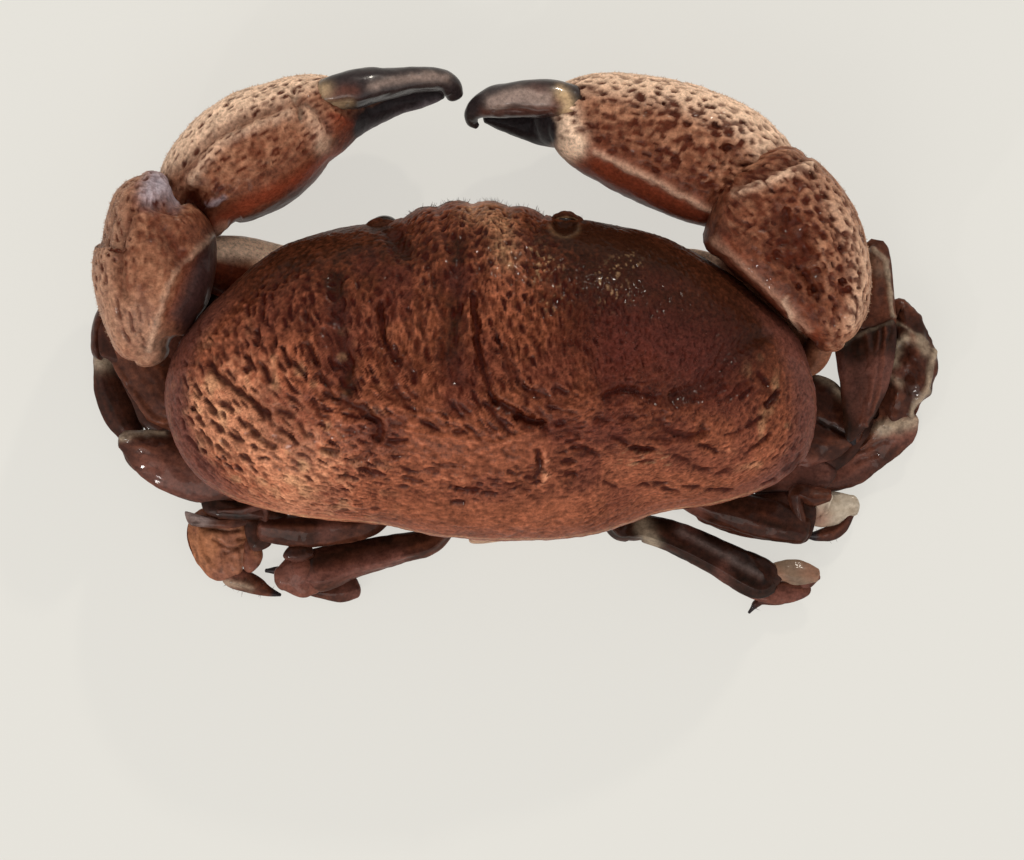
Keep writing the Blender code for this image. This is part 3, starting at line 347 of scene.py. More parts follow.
# Paths that the shell's hollows are long along
FLOW_GUIDES = [
    ((470, 225), (470, 345)), ((420, 240), (425, 380)), ((520, 230), (530, 320)),
    ((575, 260), (570, 340), (590, 385)), ((375, 260), (385, 360)), ((304, 282), (322, 292)),
    ((300, 290), (312, 375)), ((250, 310), (300, 395)), ((205, 370), (280, 440)),
    ((185, 400), (260, 480)), ((240, 440), (350, 490)), ((300, 395), (370, 425)),
    ((380, 500), (540, 500)), ((560, 500), (720, 495)), ((620, 450), (720, 450)),
    ((740, 480), (800, 430)), ((700, 410), (745, 370), (780, 330)), ((770, 420), (785, 380)),
    ((600, 395), (655, 395)), ((500, 340), (525, 395)), ((640, 290), (645, 360)),
    ((700, 310), (690, 380)), ((560, 430), (600, 425)), ((390, 400), (440, 425)),
]

CLAW_FEATURES = {
    "palm_left": [
        ("pit", (6, 0.85, 0.4, (178, 168), (203, 143), (237, 121), (270, 111))),
        ("pale", (6, -0.7, 0.4, (192, 180), (216, 148), (250, 128), (288, 114))),
        ("pit", (9, 1.5, 1.3, (189, 202), (198, 214), (200, 226))),
        # Painted highlight: pale lilac spots on the glossy hollow
        ("grey", (3, -0.35, 0.55, (206, 206), (214, 202), (224, 198))),
        ("gloss", (9, 0, 1, (204, 212), (228, 196))),
        ("pale", (4, -0.6, 0.3, (180, 218), (190, 234), (206, 236), (224, 224))),
        ("red", (9, 0, 1, (214, 226), (250, 204), (300, 180), (336, 156))),
        # Painted shade: a dark to black band along the lower edge, which faces the shell
        ("pit", (10, 0, 0.3, (220, 240), (262, 226), (300, 202), (336, 176)),
         (11, 0.25, 0.4, (222, 238), (256, 222), (296, 198), (332, 170))),
        ("horn", (8, 0, 0.85, (216, 240), (230, 238), (262, 222), (304, 196))),
        ("calm", (14, 0, 1.4, (214, 226), (270, 200), (336, 156))),
        ("tone", (3.5, 0.8, -0.35, (292, 90), (298, 104), (302, 118)),
         (3, 0.6, -0.3, (308, 104), (322, 118), (330, 132))),
        ("pale", (9, -0.2, 0.34, (306, 112), (318, 128), (322, 146))),
        ("red", (5, -0.3, 0.9, (330, 116), (342, 120), (352, 124))),
        ("grey", (5, -0.2, 1, (322, 184), (346, 166), (365, 146))),
        ("horn", (18, 0, 3, (374, 128), (400, 114), (437, 99))),
        ("red", (8, 0, 0.5, (322, 130), (340, 128), (350, 140))),
        ("grey", (4, -0.2, 0.3, (362, 134), (395, 119), (437, 102))),
    ],
    "wrist_left": [
        ("grey", (11, -0.5, 1.3, (157, 182), (151, 194))),
        ("pit", (4, 0.9, 0.55, (142, 204), (162, 208), (178, 212)),
         (5, 0.75, 0.55, (132, 208), (122, 236), (118, 268), (124, 296)),
         (11, 1.3, 0.75, (163, 232), (172, 246), (178, 260))),
        ("pale", (3.5, -0.35, 0.18, (212, 236), (190, 258), (172, 278), (160, 312), (150, 348))),
        ("red", (9, 0.8, 0.3, (204, 258), (184, 288), (170, 316))),
        # Painted shade: dark to black on the inner face next to the shell, where shade falls between wrist
        # and shell
        ("pit", (11, 0, 0.3, (216, 256), (202, 288), (184, 322))),
        ("horn", (14, 0, 1, (216, 248), (202, 284), (187, 318))),
        ("grey", (6, -0.5, 0.8, (168, 190), (176, 202))),
        ("tone", (9, -0.4, 0.05, (136, 240), (140, 280))),
        ("pale", (22, 0, 0.12, (132, 322), (152, 350))),
        ("calm", (30, 0, 1.4, (132, 300), (152, 350)), (18, 0, 0.9, (160, 230), (168, 300))),
        ("pit", (1.6, 0.25, 0.9, (116, 300), (120, 318)), (1.5, 0.25, 0.9, (128, 312), (134, 332)),
         (1.3, 0.2, 0.8, (137, 306), (141, 320)), (1.5, 0.2, 0.8, (122, 330), (130, 344)),
         (1.3, 0.2, 0.7, (140, 334), (145, 346)), (1.3, 0.2, 0.6, (146, 312), (150, 326))),
    ],
    "palm_right": [
        ("tone", (44, 0, 0.1, (600, 100), (650, 120), (720, 170))),
        ("pale", (10, -0.4, 0.55, (740, 128), (762, 150), (772, 162))),
        ("pit", (6, 0.6, 0.5, (726, 150), (748, 168))),
        ("pale", (12, -0.25, 2, (560, 104), (566, 128), (572, 146))),
        ("pit", (5, 0.4, 0.3, (578, 92), (590, 110), (592, 140))),
        ("red", (13, 0, 2, (585, 158), (640, 186), (700, 214))),
        ("calm", (14, 0, 2, (575, 150), (640, 184), (700, 212))),
        ("pale", (4, -0.55, 0.4, (596, 152), (650, 178), (715, 212))),
        ("tone", (9, 0, -0.4, (650, 206), (690, 222), (720, 218)),
         (30, 0, -0.18, (620, 140), (700, 185))),
        ("horn", (19, 0, 2.6, (500, 118), (525, 126), (536, 130))),
        ("red", (8, 0, 0.5, (548, 130), (560, 142))),
    ],
    "wrist_right": [
        ("tone", (24, 2, -0.32, (786, 226), (800, 262), (820, 292))),
        ("pale", (5, -0.6, 0.5, (738, 192), (770, 180), (812, 166))),
        ("pit", (7, 0.7, 0.7, (778, 212), (788, 224)), (7, 0.7, 0.7, (798, 236), (806, 252)),
         (6, 0.6, 0.6, (768, 246), (780, 262)), (6, 0.6, 0.6, (802, 276), (814, 292))),
        ("tone", (5, -0.5, 0.25, (822, 244), (830, 270), (826, 300))),
        ("pit", (4, 0.6, 0.5, (738, 184), (772, 170), (806, 158))),
        ("red", (11, 0, 0.55, (722, 246), (762, 286), (812, 338))),
        ("calm", (15, 0, 2, (716, 246), (762, 292), (812, 345))),
        ("pale", (4, -0.4, 0.18, (716, 240), (762, 282), (808, 330))),
        ("pit", (8, 0.3, 0.85, (712, 262), (762, 310), (814, 356)),
         (9, -0.7, 0.6, (704, 236), (712, 250))),
        ("tone", (14, 0, 0.22, (830, 200), (860, 262), (850, 325))),
        ("pale", (7, -0.35, 0.25, (836, 206), (862, 262), (852, 325))),
        ("tone", (6, 0.45, -0.2, (822, 200), (850, 262), (840, 318))),
        ("gloss", (7, 0, 1, (782, 296), (792, 316), (800, 334))),
        # Painted highlight: pale glints on the salmon band
        ("pale", (3, -0.3, 0.3, (784, 300), (792, 318), (798, 332))),
    ],
    "finger_left": [
        # Painted highlight: a grey band along the top of the finger
        ("grey", (5, -0.15, 0.75, (372, 86), (410, 78), (446, 78))),
        ("tone", (4, 0.3, -0.2, (350, 108), (400, 97), (440, 92))),
        ("pale", (8, 0, 0.6, (296, 92), (312, 92), (324, 90))),
        ("red", (8, 0, 0.45, (330, 96), (352, 92))),
        ("pale", (5, 0.4, 0.4, (300, 106), (330, 106), (350, 104))),
    ],
    "finger_right": [
        ("grey", (7, -0.15, 1.5, (494, 103), (518, 96), (546, 99))),
        ("red", (5, 0.2, 0.35, (484, 112), (520, 112), (550, 112))),
        ("tone", (4, 0.3, -0.2, (490, 112), (520, 112), (548, 116))),
        ("pale", (7, 0, 0.9, (560, 92), (568, 104), (566, 122))),
        ("red", (10, 0, 0.6, (535, 96), (556, 104))),
    ],
    "arm_left": [
        ("pale", (13, 0, 2, (222, 244), (250, 244), (280, 252))),
        # Painted shade: the lower part of the arm, in the gap by the shell, is darkened
        ("pit", (13, 0, 1.4, (205, 270), (240, 276), (222, 296))),
    ],
    "arm_right": [
        ("tone", (16, 0, -0.05, (800, 372), (832, 352))),
        ("pale", (12, 0, 2, (690, 254), (705, 258))),
    ],
}

# Which way the paler outer face of a claw piece looks, how velvety it is, and its hollows: their
# length and width, their depth, how strong the furrows between them are and how dark the hollows are
CLAW_SKINS = {
    "palm_left": dict(outer=(-0.45, 0.89), velvet=0.85, hollow=(1.5, 0.75), depth=0.26, net=0.3, tint=1.6),
    "palm_right": dict(outer=(0.3, 0.95), velvet=0.8, hollow=(1.65, 1.15), depth=0.6, net=1.0, tint=2.2),
    "wrist_left": dict(outer=(-0.95, 0.3), velvet=0.16, hollow=(1.5, 0.9), depth=0.3, net=0.35, tint=1.6),
    "wrist_right": dict(outer=(0.9, 0.44), velvet=0.14, hollow=(1.6, 1.05), depth=0.66, net=1.0, tint=2.5),
    "arm_left": dict(outer=(0.0, 1.0), velvet=0.3, hollow=None),
    "arm_right": dict(outer=(1.0, 0.0), velvet=0.0, hollow=None),
}

LEG_FEATURES = {
    "leg1_left_thigh": [
        ("tone", (3, -0.4, 0.15, (112, 361), (131, 391), (151, 417), (165, 422)),
         (10, 0, 0.25, (105, 325), (120, 350))),
    ],
    "leg1_left_shin": [
        ("pale", (9, -0.2, 0.6, (100, 362), (110, 360))),
    ],
    "leg2_left_thigh": [
        ("pale", (4, -0.15, 0.55, (120, 438), (140, 433), (163, 432))),
        ("gloss", (6, -0.2, 1, (140, 444), (152, 440))),
        ("red", (20, 0, 0.5, (150, 470), (190, 490))),
        ("tone", (14, 0, 0.2, (140, 455), (170, 470))),
    ],
    "leg3_left_shin": [
        ("pit", (4, 0.35, 0.5, (205, 530), (214, 529)), (3, 0.35, 0.4, (240, 540), (258, 536)),
         (2.2, 0.4, 0.5, (200, 524), (222, 531), (240, 529)),
         (2.2, 0.35, 0.4, (214, 540), (232, 547), (246, 545)), (2, 0.3, 0.4, (226, 552), (238, 549))),
        ("tone", (4, -0.35, 0.08, (196, 540), (202, 556), (214, 568)),
         (4, -0.3, 0.06, (222, 536), (236, 556), (238, 570)), (5, 0.3, -0.12, (190, 530), (196, 552))),
        ("pale", (7, 0, 0.5, (252, 560), (256, 566))),
        ("tone", (30, 0, 0.5, (195, 545), (250, 555))),
    ],
    "leg3_left_tip": [
        ("tone", (12, 0, 0.25, (215, 576), (262, 590))),
        ("pale", (4, -0.2, 0.45, (218, 580), (250, 588))),
    ],
    "leg3_left_lamina": [
        ("grey", (9, 0, 1, (186, 513), (204, 518))),
    ],
    "leg4_left_thigh": [
        ("red", (8, -0.3, 0.7, (290, 583), (340, 572), (400, 555))),
        ("tone", (6, 0, -0.22, (300, 562), (390, 540))),
    ],
    "leg4_left_knee": [
        ("red", (12, -0.2, 0.45, (300, 572), (315, 588))),
    ],
    "leg4_left_shin": [
        ("red", (12, 0, 0.4, (340, 585), (356, 585))),
    ],
    "leg1_right_knee": [
        ("pale", (2.4, -0.3, 0.45, (874, 250), (885, 262), (889, 290), (893, 316)),
         (8, 0, 0.15, (872, 256), (880, 270))),
    ],
    "leg1_right_shin": [
        ("grey", (3, -0.3, 0.5, (850, 340), (862, 430)), (3, -0.3, 0.4, (868, 336), (872, 420))),
    ],
    "leg1_right_fold": [
        ("tone", (3, -0.3, 0.12, (866, 336), (872, 380), (862, 424)),
         (8, 0.25, -0.12, (852, 344), (856, 400))),
        ("pale", (2, -0.2, 0.12, (838, 346), (866, 331), (892, 323))),
        ("tone", (2.2, -0.4, 0.34, (885, 328), (884, 358), (879, 392), (866, 424)),
         (1.8, -0.3, 0.26, (878, 332), (876, 366), (869, 404))),
    ],
    "leg2_right_knee": [
        ("pale", (5, -0.3, 0.9, (893, 362), (895, 346), (906, 338)),
         (5, -0.3, 0.5, (918, 340), (928, 352)),
         (2.6, -0.4, 0.6, (933, 352), (927, 378), (918, 402), (909, 422)),
         (2.4, -0.3, 0.3, (890, 322), (908, 328), (928, 342))),
        ("pit", (6, 0.6, 0.6, (904, 352), (912, 364), (906, 378))),
        # Painted highlight: a small pale glint
        ("pale", (4, -0.4, 0.4, (888, 376), (900, 384))),
        ("pit", (8, 0.3, 0.4, (886, 400), (904, 412))),
        ("gloss", (8, -0.6, 1, (912, 360), (922, 390))),
        ("tone", (7, 0, -0.3, (915, 320), (925, 335)), (5, 0.6, -0.2, (905, 380), (915, 410))),
    ],
    "leg2_right_shin": [
        ("pale", (7, -0.2, 0.65, (880, 430), (900, 424), (914, 421))),
        ("pit", (1.8, 0.25, 0.5, (852, 452), (872, 446), (886, 440)),
         (1.8, 0.25, 0.4, (856, 462), (878, 454))),
        ("red", (14, 0, 0.4, (826, 482), (862, 462))),
        ("tone", (5, 0, -0.25, (838, 488), (870, 472), (896, 446))),
    ],
    "leg4_right_thigh": [
        ("pale", (8, 0, 0.5, (640, 518), (652, 545))),
        ("grey", (4, -0.3, 0.4, (680, 530), (760, 575))),
    ],
    "leg4_right_shin": [
        ("red", (10, 0, 0.8, (760, 590), (800, 590))),
    ],
    "leg4_right_flange": [
        ("red", (9, 0, 0.7, (720, 578), (760, 594), (800, 596))),
    ],
    "leg2_right_thigh": [
        ("pale", (4, -0.1, 0.9, (820, 376), (834, 384), (842, 396)),
         (1.8, -0.2, 0.8, (853, 450), (838, 465), (812, 470))),
        ("tone", (3, 0.3, -0.2, (818, 420), (850, 436))),
    ],
    "leg3_right_shin": [
        ("red", (12, 0, 0.7, (806, 512), (818, 520))),
    ],
    "leg4_right_knee": [
        ("red", (9, 0, 0.5, (772, 572), (780, 584))),
    ],
    "leg3_right_blade": [
        ("tone", (3, -0.25, 0.12, (700, 520), (760, 533), (800, 540)),
         (8, 0.25, -0.1, (740, 505), (790, 510))),
    ],
}

# How pale, how crumpled and how ridged a leg piece is, and the pieces that differ
LEG_TONE = -0.13
LEG_CRUMPLE = 0.10
LEG_RIDGE = 0.25
PALE_LEG_PIECES = ("leg3_right_shin", "leg4_right_knee")
LEG_TONES = { "leg3_left_shin": 0.17, "leg1_left_thigh": -0.04, "leg2_right_shin": 0,
    "leg2_right_knee": -0.08, "leg1_right_knee": -0.02, "leg4_left_knee": 0.05, "leg3_right_thigh": -0.22,
    "leg4_right_thigh": -0.36, "leg3_right_shin": 0.1, "leg4_right_knee": -0.55, "leg1_right_shin": -0.2,
    "leg1_left_shin": -0.2}
LEG_CRUMPLES = {"leg2_right_knee": 0.42, "leg2_right_shin": 0.22, "leg3_left_shin": 0.26}
LEG_RIDGES = {"leg4_left_thigh": -0.5, "leg4_right_thigh": 0.5, "leg2_right_shin": 0.6}

# Broad thin parts of the legs, and a dark plate of painted shadow by the left wrist: height, half
# thickness, tone, then the outline in the plan
PLATES = {
    # Painted shadow: a dark plate that fills the gap between the left wrist and the shell
    "arm_left_shadow_plate": (10, 1, -0.42, (192, 272), (216, 262), (242, 272), (236, 300), (206, 330),
        (184, 338)),
    "leg1_left_blade": (6.2, 0.9, -0.03, (97, 322), (108, 318), (130, 336), (160, 340), (186, 330),
        (190, 350), (182, 400), (176, 434), (146, 430), (129, 398), (112, 364), (100, 352)),
    "leg3_left_collar": (6, 0.9, -0.22, (206, 494), (240, 500), (282, 508), (286, 522), (262, 520),
        (236, 520), (212, 516), (202, 506)),
    "leg3_left_lamina": (4.6, 0.5, 0.05, (185, 511), (200, 515), (226, 519), (258, 520), (240, 527),
        (208, 528), (190, 524)),
    "leg3_left_lobe": (2.9, 0.8, 0.4, (244, 540), (256, 542), (262, 552), (260, 564), (251, 573),
        (243, 566)),
    "leg3_left_hinge": (4.4, 0.8, -0.1, (244, 519), (268, 517), (272, 532), (270, 546), (252, 550)),
    "leg2_right_under": (2.9, 0.8, -0.14, (846, 336), (868, 322), (892, 318), (904, 350), (902, 392),
        (892, 424), (866, 446), (838, 470), (812, 474), (818, 440), (838, 418), (845, 380)),
    "leg4_left_lump": (5.4, 0.9, -0.15, (283, 557), (289, 546), (300, 543), (311, 547), (313, 557),
        (298, 562)),
    "leg1_right_fold": (7.8, 0.7, -0.24, (835, 345), (850, 334), (872, 327), (894, 321), (896, 350),
        (889, 384), (876, 412), (860, 434), (847, 441), (842, 404), (838, 372)),
    "leg4_right_cap": (4.4, 1, -0.22, (744, 552), (764, 557), (778, 568), (782, 580), (768, 590),
        (750, 582)),
    "leg2_right_web": (3.4, 0.8, -0.16, (754, 492), (776, 470), (812, 458), (836, 470), (828, 486),
        (808, 500), (786, 504)),
    "leg3_right_blade": (4.2, 1.1, -0.14, (682, 506), (712, 500), (752, 494), (786, 492), (812, 500),
        (816, 520), (806, 542), (776, 541), (742, 536), (712, 526)),
    "leg4_right_flange": (2.4, 0.6, 0.12, (716, 574), (740, 576), (768, 580), (806, 582), (808, 596),
        (780, 604), (756, 600), (734, 588)),
}


def lattice(cells, seed):
    """Even random numbers between 0 and 1 that depend only on whole-number places."""
    mixed = (cells[:, 0] * 374761393 + cells[:, 1] * 668265263 + cells[:, 2] * 1440662683
             + seed * 974634777)
    mixed = (mixed ^ (mixed >> 13)) * 1274126177
    mixed = mixed ^ (mixed >> 16)
    return (mixed & 0xFFFFF) / 0xFFFFF


def value_noise(points, size, seed):
    """Smooth noise between -1 and 1, with a new value every size millimetres."""
    scaled = points / size
    base = np.floor(scaled).astype(np.int64)
    part = scaled - base
    part = part * part * (3 - 2 * part)
    total = np.zeros(len(points))
    for corner in range(8):
        step = np.array((corner & 1, corner >> 1 & 1, corner >> 2 & 1))
        weight = np.prod(np.where(step, part, 1 - part), axis=1)
        total += weight * lattice(base + step, seed)
    return 2 * total - 1


def fractal(points, size, octaves, seed):
    """Noise at several sizes, each half as large and half as strong as the last."""
    total = np.zeros(len(points))
    for octave in range(octaves):
        total += value_noise(points, size / 2 ** octave, seed + octave) / 2 ** octave
    return total


def smooth_step(low, high, value):
    """From 0 at low to 1 at high, with soft ends. Low may be the greater one."""
    share = np.clip((value - low) / (high - low), 0.0, 1.0)
    return share * share * (3 - 2 * share)


def unit(vectors):
    return vectors / np.maximum(np.linalg.norm(vectors, axis=-1, keepdims=True), 1e-9)


def read_spline(rows, places):
    """The smooth curve through rows, read at places counted in rows."""
    last = len(rows) - 1
    span = np.clip(places.astype(int), 0, last - 1)
    share = (places - span)[:, None]
    before, start = rows[np.maximum(span - 1, 0)], rows[span]
    end, after = rows[span + 1], rows[np.minimum(span + 2, last)]
    return 0.5 * (2 * start + (end - before) * share
                  + (2 * before - 5 * start + 4 * end - after) * share ** 2
                  + (3 * start - 3 * end + after - before) * share ** 3)


def path_distance(spots, path):
    """Distance of each spot to a path: a straight line, or a smooth curve through more points."""
    path = np.array(path, float)
    if len(path) > 2:
        path = read_spline(path, np.linspace(0, len(path) - 1, 4 * len(path)))
    best = np.full(len(spots), np.inf)
    for start, end in zip(path, path[1:]):
        run = end - start
        share = np.clip((spots - start) @ run / (run @ run), 0, 1)
        best = np.minimum(best, np.linalg.norm(spots - start - share[:, None] * run, axis=1))
    return best


def plan_scale(height):
    """Millimetres for one unit of the plan at a height."""
    return RIM_SCALE * (CAMERA_HEIGHT - height) / (CAMERA_HEIGHT - RIM_HEIGHT)


def plan_of(points):
    """Where points show in the plan."""
    scale = plan_scale(points[:, 2])
    across = PLAN_MIDDLE[0] + (points[:, 0] - LOOKED_AT[0]) / scale
    down = PLAN_MIDDLE[1] - (points[:, 1] - LOOKED_AT[1]) / scale
    return np.stack((across, down), axis=1)


class Skin:
    """Points and faces of one piece, with the masks that its material reads."""

    def __init__(self, points, faces, flow=None):
        self.points = np.array(points, float)
        self.faces = faces
        self.flow = flow
        self.masks = {name: np.zeros(len(points)) for name in MASKS}
        self.masks["tone"] += PLAIN_TONE

    def normals(self):
        total = np.zeros_like(self.points)
        for group in self.faces:
            corners = self.points[group]
            face = np.cross(corners[:, 2] - corners[:, 0], corners[:, -1] - corners[:, 1])
            if group.shape[1] == 3:
                face = np.cross(corners[:, 1] - corners[:, 0], corners[:, 2] - corners[:, 0])
            for corner in range(group.shape[1]):
                np.add.at(total, group[:, corner], face)
        return unit(total)

    def mark(self, name, amount):
        """Add to the tone, or cover more of what another mask has left open."""
        if name == "tone":
            self.masks["tone"] += amount
        else:
            self.masks[name] = 1 - (1 - self.masks[name]) * (1 - np.clip(amount, 0, 1))

    def push(self, amount):
        """Move the points out along their normals, in millimetres."""
        self.points += self.normals() * np.asarray(amount)[:, None]

    def add_features(self, features, top_only=True, depths=1.0, pits=1.0):
        """Sink or raise the paths and mark their masks, on the faces that look up."""
        spots = plan_of(self.points)
        spots += WOBBLE * np.stack([value_noise(self.points, 0.9, seed) for seed in (101, 102)], axis=1)
        normals = self.normals()
        facing = smooth_step(-0.25, 0.15, normals[:, 2]) if top_only else 1.0
        sunk = np.zeros(len(spots))
        for mask, *rows in features:
            for half_width, depth, amount, *path in rows:
                sharp = 3.2 if half_width < NARROW else 2.0
                reach = np.exp(-(path_distance(spots, path) / half_width) ** sharp) * facing
                sunk += depths * depth * reach
                self.mark(mask, (pits if mask == "pit" else 1.0) * amount * reach)
        self.points -= normals * sunk[:, None]

    def add_pits(self, long, short, depth, share, seed, tint):
        """Cover the skin with separate hollows, long along its flow, where share lets them be."""
        count = len(self.points)
        rng = np.random.RandomState(seed)
        drift = np.stack([value_noise(self.points, 1.3, seed + axis) for axis in (11, 12, 13)], axis=1)
        places = self.points + HOLLOW_WANDER * drift
        normals = self.normals()
        along = unit(self.flow - normals * np.sum(self.flow * normals, axis=1)[:, None])
        across = np.cross(normals, along)
        long, short = np.broadcast_to(long, count), np.broadcast_to(short, count)
        order = np.argsort(places[:, 0])
        sorted_x = places[order, 0]
        open_spots = share > 0.04
        hollow = np.zeros(count)
        for centre in rng.permutation(count):
            if not open_spots[centre]:
                continue
            reach = long[centre]
            low, high = np.searchsorted(sorted_x, (places[centre, 0] - reach, places[centre, 0] + reach))
            near = order[low:high]
            offset = places[near] - places[centre]
            ratio = np.sqrt((offset @ along[centre] / reach) ** 2
                            + (offset @ across[centre] / short[centre]) ** 2
                            + (offset @ normals[centre] / short[centre]) ** 2)
            open_spots[near[ratio < 1.0]] = False
            strength = rng.uniform(0.32, 1.0) * share[centre]
            inside = np.clip(1.5 - 1.5 * (ratio / rng.uniform(0.26, 0.60)) ** 2, 0, 1)
            hollow[near] = np.maximum(hollow[near], strength * inside ** 1.2)
        self.mark("pit", tint * hollow)
        self.push(-depth * hollow)

    def lively(self):
        """The share of each point that calm leaves."""
        return 1 - np.clip(self.masks["calm"], 0, 1)

    def streaks(self, size, length, seed):
        """Noise drawn out along the flow, with a spread of one."""
        total = np.zeros(len(self.points))
        for place in np.linspace(-0.5, 0.5, 7):
            total += value_noise(self.points + place * length * self.flow, size, seed)
        return (total - total.mean()) / total.std()

    def roughen(self, size, height, seed, octaves=3):
        self.push(height * fractal(self.points, size, octaves, seed))


def grid(rows, columns):
    """Each of rows paired with each of columns, row after row."""
    first, second = np.meshgrid(rows, columns, indexing="ij")
    return first.ravel(), second.ravel()


def ring_faces(rings, sides):
    """Quads between closed rings of points."""
    row, column = grid(np.arange(rings - 1), np.arange(sides))
    following = (column + 1) % sides
    return np.stack((row * sides + column, (row + 1) * sides + column,
                     (row + 1) * sides + following, row * sides + following), axis=1)


def fan_faces(first, sides, pole, outward):
    """Triangles between a ring, whose points begin at first, and its pole."""
    column = np.arange(sides)
    following = (column + 1) % sides
    ends = (column, following) if outward else (following, column)
    return np.stack((first + ends[0], first + ends[1], np.full(sides, pole)), axis=1)


def limb_skin(stations, step, squareness=0.8, across=None, ridge=0.0, blunt=None):
    """A closed skin through a limb's sections, with rounded ends and a ridge that leans sideways."""
    step *= COARSE
    stations = np.array(stations, float)
    fine = np.linspace(0, len(stations) - 1, 40 * len(stations))
    trail = read_spline(stations, fine)
    walked = np.concatenate(([0], np.cumsum(np.linalg.norm(np.diff(trail[:, :3], axis=0), axis=1))))
    count = max(8, int(walked[-1] / step))
    rows = read_spline(stations, np.interp(np.linspace(0, walked[-1], count), walked, fine))
    centres = rows[:, :3]
    ahead = unit(np.gradient(centres, axis=0))
    side = np.cross(ahead, (0, 0, 1)) if across is None else np.broadcast_to(across, ahead.shape)
    side = unit(side)
    up = unit(np.cross(side, ahead))
    sides = max(16, int(2 * math.pi * 0.8 * rows[:, 3:].max() / step))
    angle = np.linspace(0, 2 * math.pi, sides, endpoint=False)
    wave_x = np.sign(np.cos(angle)) * np.abs(np.cos(angle)) ** squareness
    wave_z = np.sign(np.sin(angle)) * np.abs(np.sin(angle)) ** squareness
    wave_x = wave_x + ridge * np.clip(wave_z, 0, 1) * (1 - np.abs(wave_x))
    turns = np.linspace(0, math.pi / 2, CAP_RINGS + 1)[1:-1]
    entries = [(0, -math.sin(turn), math.cos(turn)) for turn in turns[::-1]]
    entries += [(row, 0.0, 1.0) for row in range(count)]
    entries += [(count - 1, math.sin(turn), math.cos(turn)) for turn in turns]
    pick, forward, scale = (np.array(values) for values in zip(*entries))
    noses = NOSE_POINT * rows[:, 3:].min(axis=1) if blunt is None else blunt * rows[:, 3]
    nose = noses[pick] * forward
    middle = centres[pick] + ahead[pick] * nose[:, None]
    points = (middle[:, None, :]
              + side[pick][:, None, :] * (rows[pick, 3] * scale)[:, None, None] * wave_x[None, :, None]
              + up[pick][:, None, :] * (rows[pick, 4] * scale)[:, None, None] * wave_z[None, :, None])
    rings = len(entries)
    tips = [centres[0] - ahead[0] * noses[0], centres[-1] + ahead[-1] * noses[-1]]
    points = np.concatenate((points.reshape(-1, 3), tips))
    faces = [ring_faces(rings, sides),
             np.concatenate((fan_faces(0, sides, rings * sides, True),
                             fan_faces((rings - 1) * sides, sides, rings * sides + 1, False)))]
    flow = np.concatenate((np.repeat(ahead[pick], sides, axis=0), ahead[[0, -1]]))
    return Skin(points, faces, flow)


def plate_skin(outline, height, half_thickness):
    """A thin plate with sharp edges whose outline is given in the plan."""
    scale = plan_scale(height)
    outline = np.array(outline, float)
    corners = np.stack((LOOKED_AT[0] + (outline[:, 0] - PLAN_MIDDLE[0]) * scale,
                        LOOKED_AT[1] - (outline[:, 1] - PLAN_MIDDLE[1]) * scale), axis=1)
    middle = corners.mean(axis=0)
    closed = np.concatenate((corners[-1:], corners, corners[:2]))
    edge = read_spline(closed, np.linspace(1, len(corners) + 1, PLATE_SECTORS, endpoint=False))
    if np.cross(corners[0] - middle, corners[1] - middle) < 0:
        edge = edge[::-1]
    turn = np.linspace(0, math.pi, PLATE_RINGS + 2)[1:-1]
    reach, rise = np.sin(turn) ** 0.8, np.cos(turn)
    rings = middle + reach[:, None, None] * (edge - middle)
    z = height + half_thickness * np.sign(rise) * np.abs(rise) ** 1.3
    points = np.concatenate((rings, np.broadcast_to(z[:, None, None], (len(z), len(edge), 1))), axis=2)
    count = len(z) * len(edge)
    points = np.concatenate((points.reshape(-1, 3), [(*middle, height + half_thickness),
                                                     (*middle, height - half_thickness)]))
    quads = ring_faces(len(z), len(edge))
    fans = np.concatenate((fan_faces(0, len(edge), count, True),
                           fan_faces(count - len(edge), len(edge), count + 1, False)))
    long = corners[np.argmax(np.linalg.norm(corners - middle, axis=1))] - middle
    flow = np.broadcast_to(unit(np.array((*long, 0.0))), points.shape)
    return Skin(points, [quads, fans], flow)


def shell_radius():
    """How far the shell's outline is from its centre, by direction."""
    closed = np.array(SHELL_OUTLINE[-1:] + SHELL_OUTLINE + SHELL_OUTLINE[:2], float)
    outline = read_spline(closed, np.linspace(1, len(SHELL_OUTLINE) + 1, 1440))
    lobes = FRONT_LOBES
    across = (outline[:, 0] - lobes["left"]) / (lobes["right"] - lobes["left"])
    front = (outline[:, 1] > 0) & (across > 0) & (across < 1)
    wave = np.abs(np.sin(across * math.pi * lobes["count"])) - 0.5
    outline[:, 1] += np.where(front, lobes["height"] * wave, 0)
    offset = outline - SHELL_CENTRE
    angle = np.arctan2(offset[:, 1], offset[:, 0])
    order = np.argsort(angle)
    return lambda at: np.interp(at, angle[order], np.hypot(*offset.T)[order], period=2 * math.pi)


def shell_flow(spots):
    """Direction of the nearest guide paths, as a vector in the shell's plane."""
    total = np.zeros((len(spots), 2))
    for path in FLOW_GUIDES:
        path = np.array(path, float)
        for start, end in zip(path, path[1:]):
            turn = 2 * math.atan2(start[1] - end[1], end[0] - start[0])
            weight = 1 / (path_distance(spots, [start, end]) ** 2 + 60)
            total += weight[:, None] * (math.cos(turn), math.sin(turn))
    turn = np.arctan2(total[:, 1], total[:, 0]) / 2
    return np.stack((np.cos(turn), np.sin(turn), np.zeros(len(spots))), axis=1)


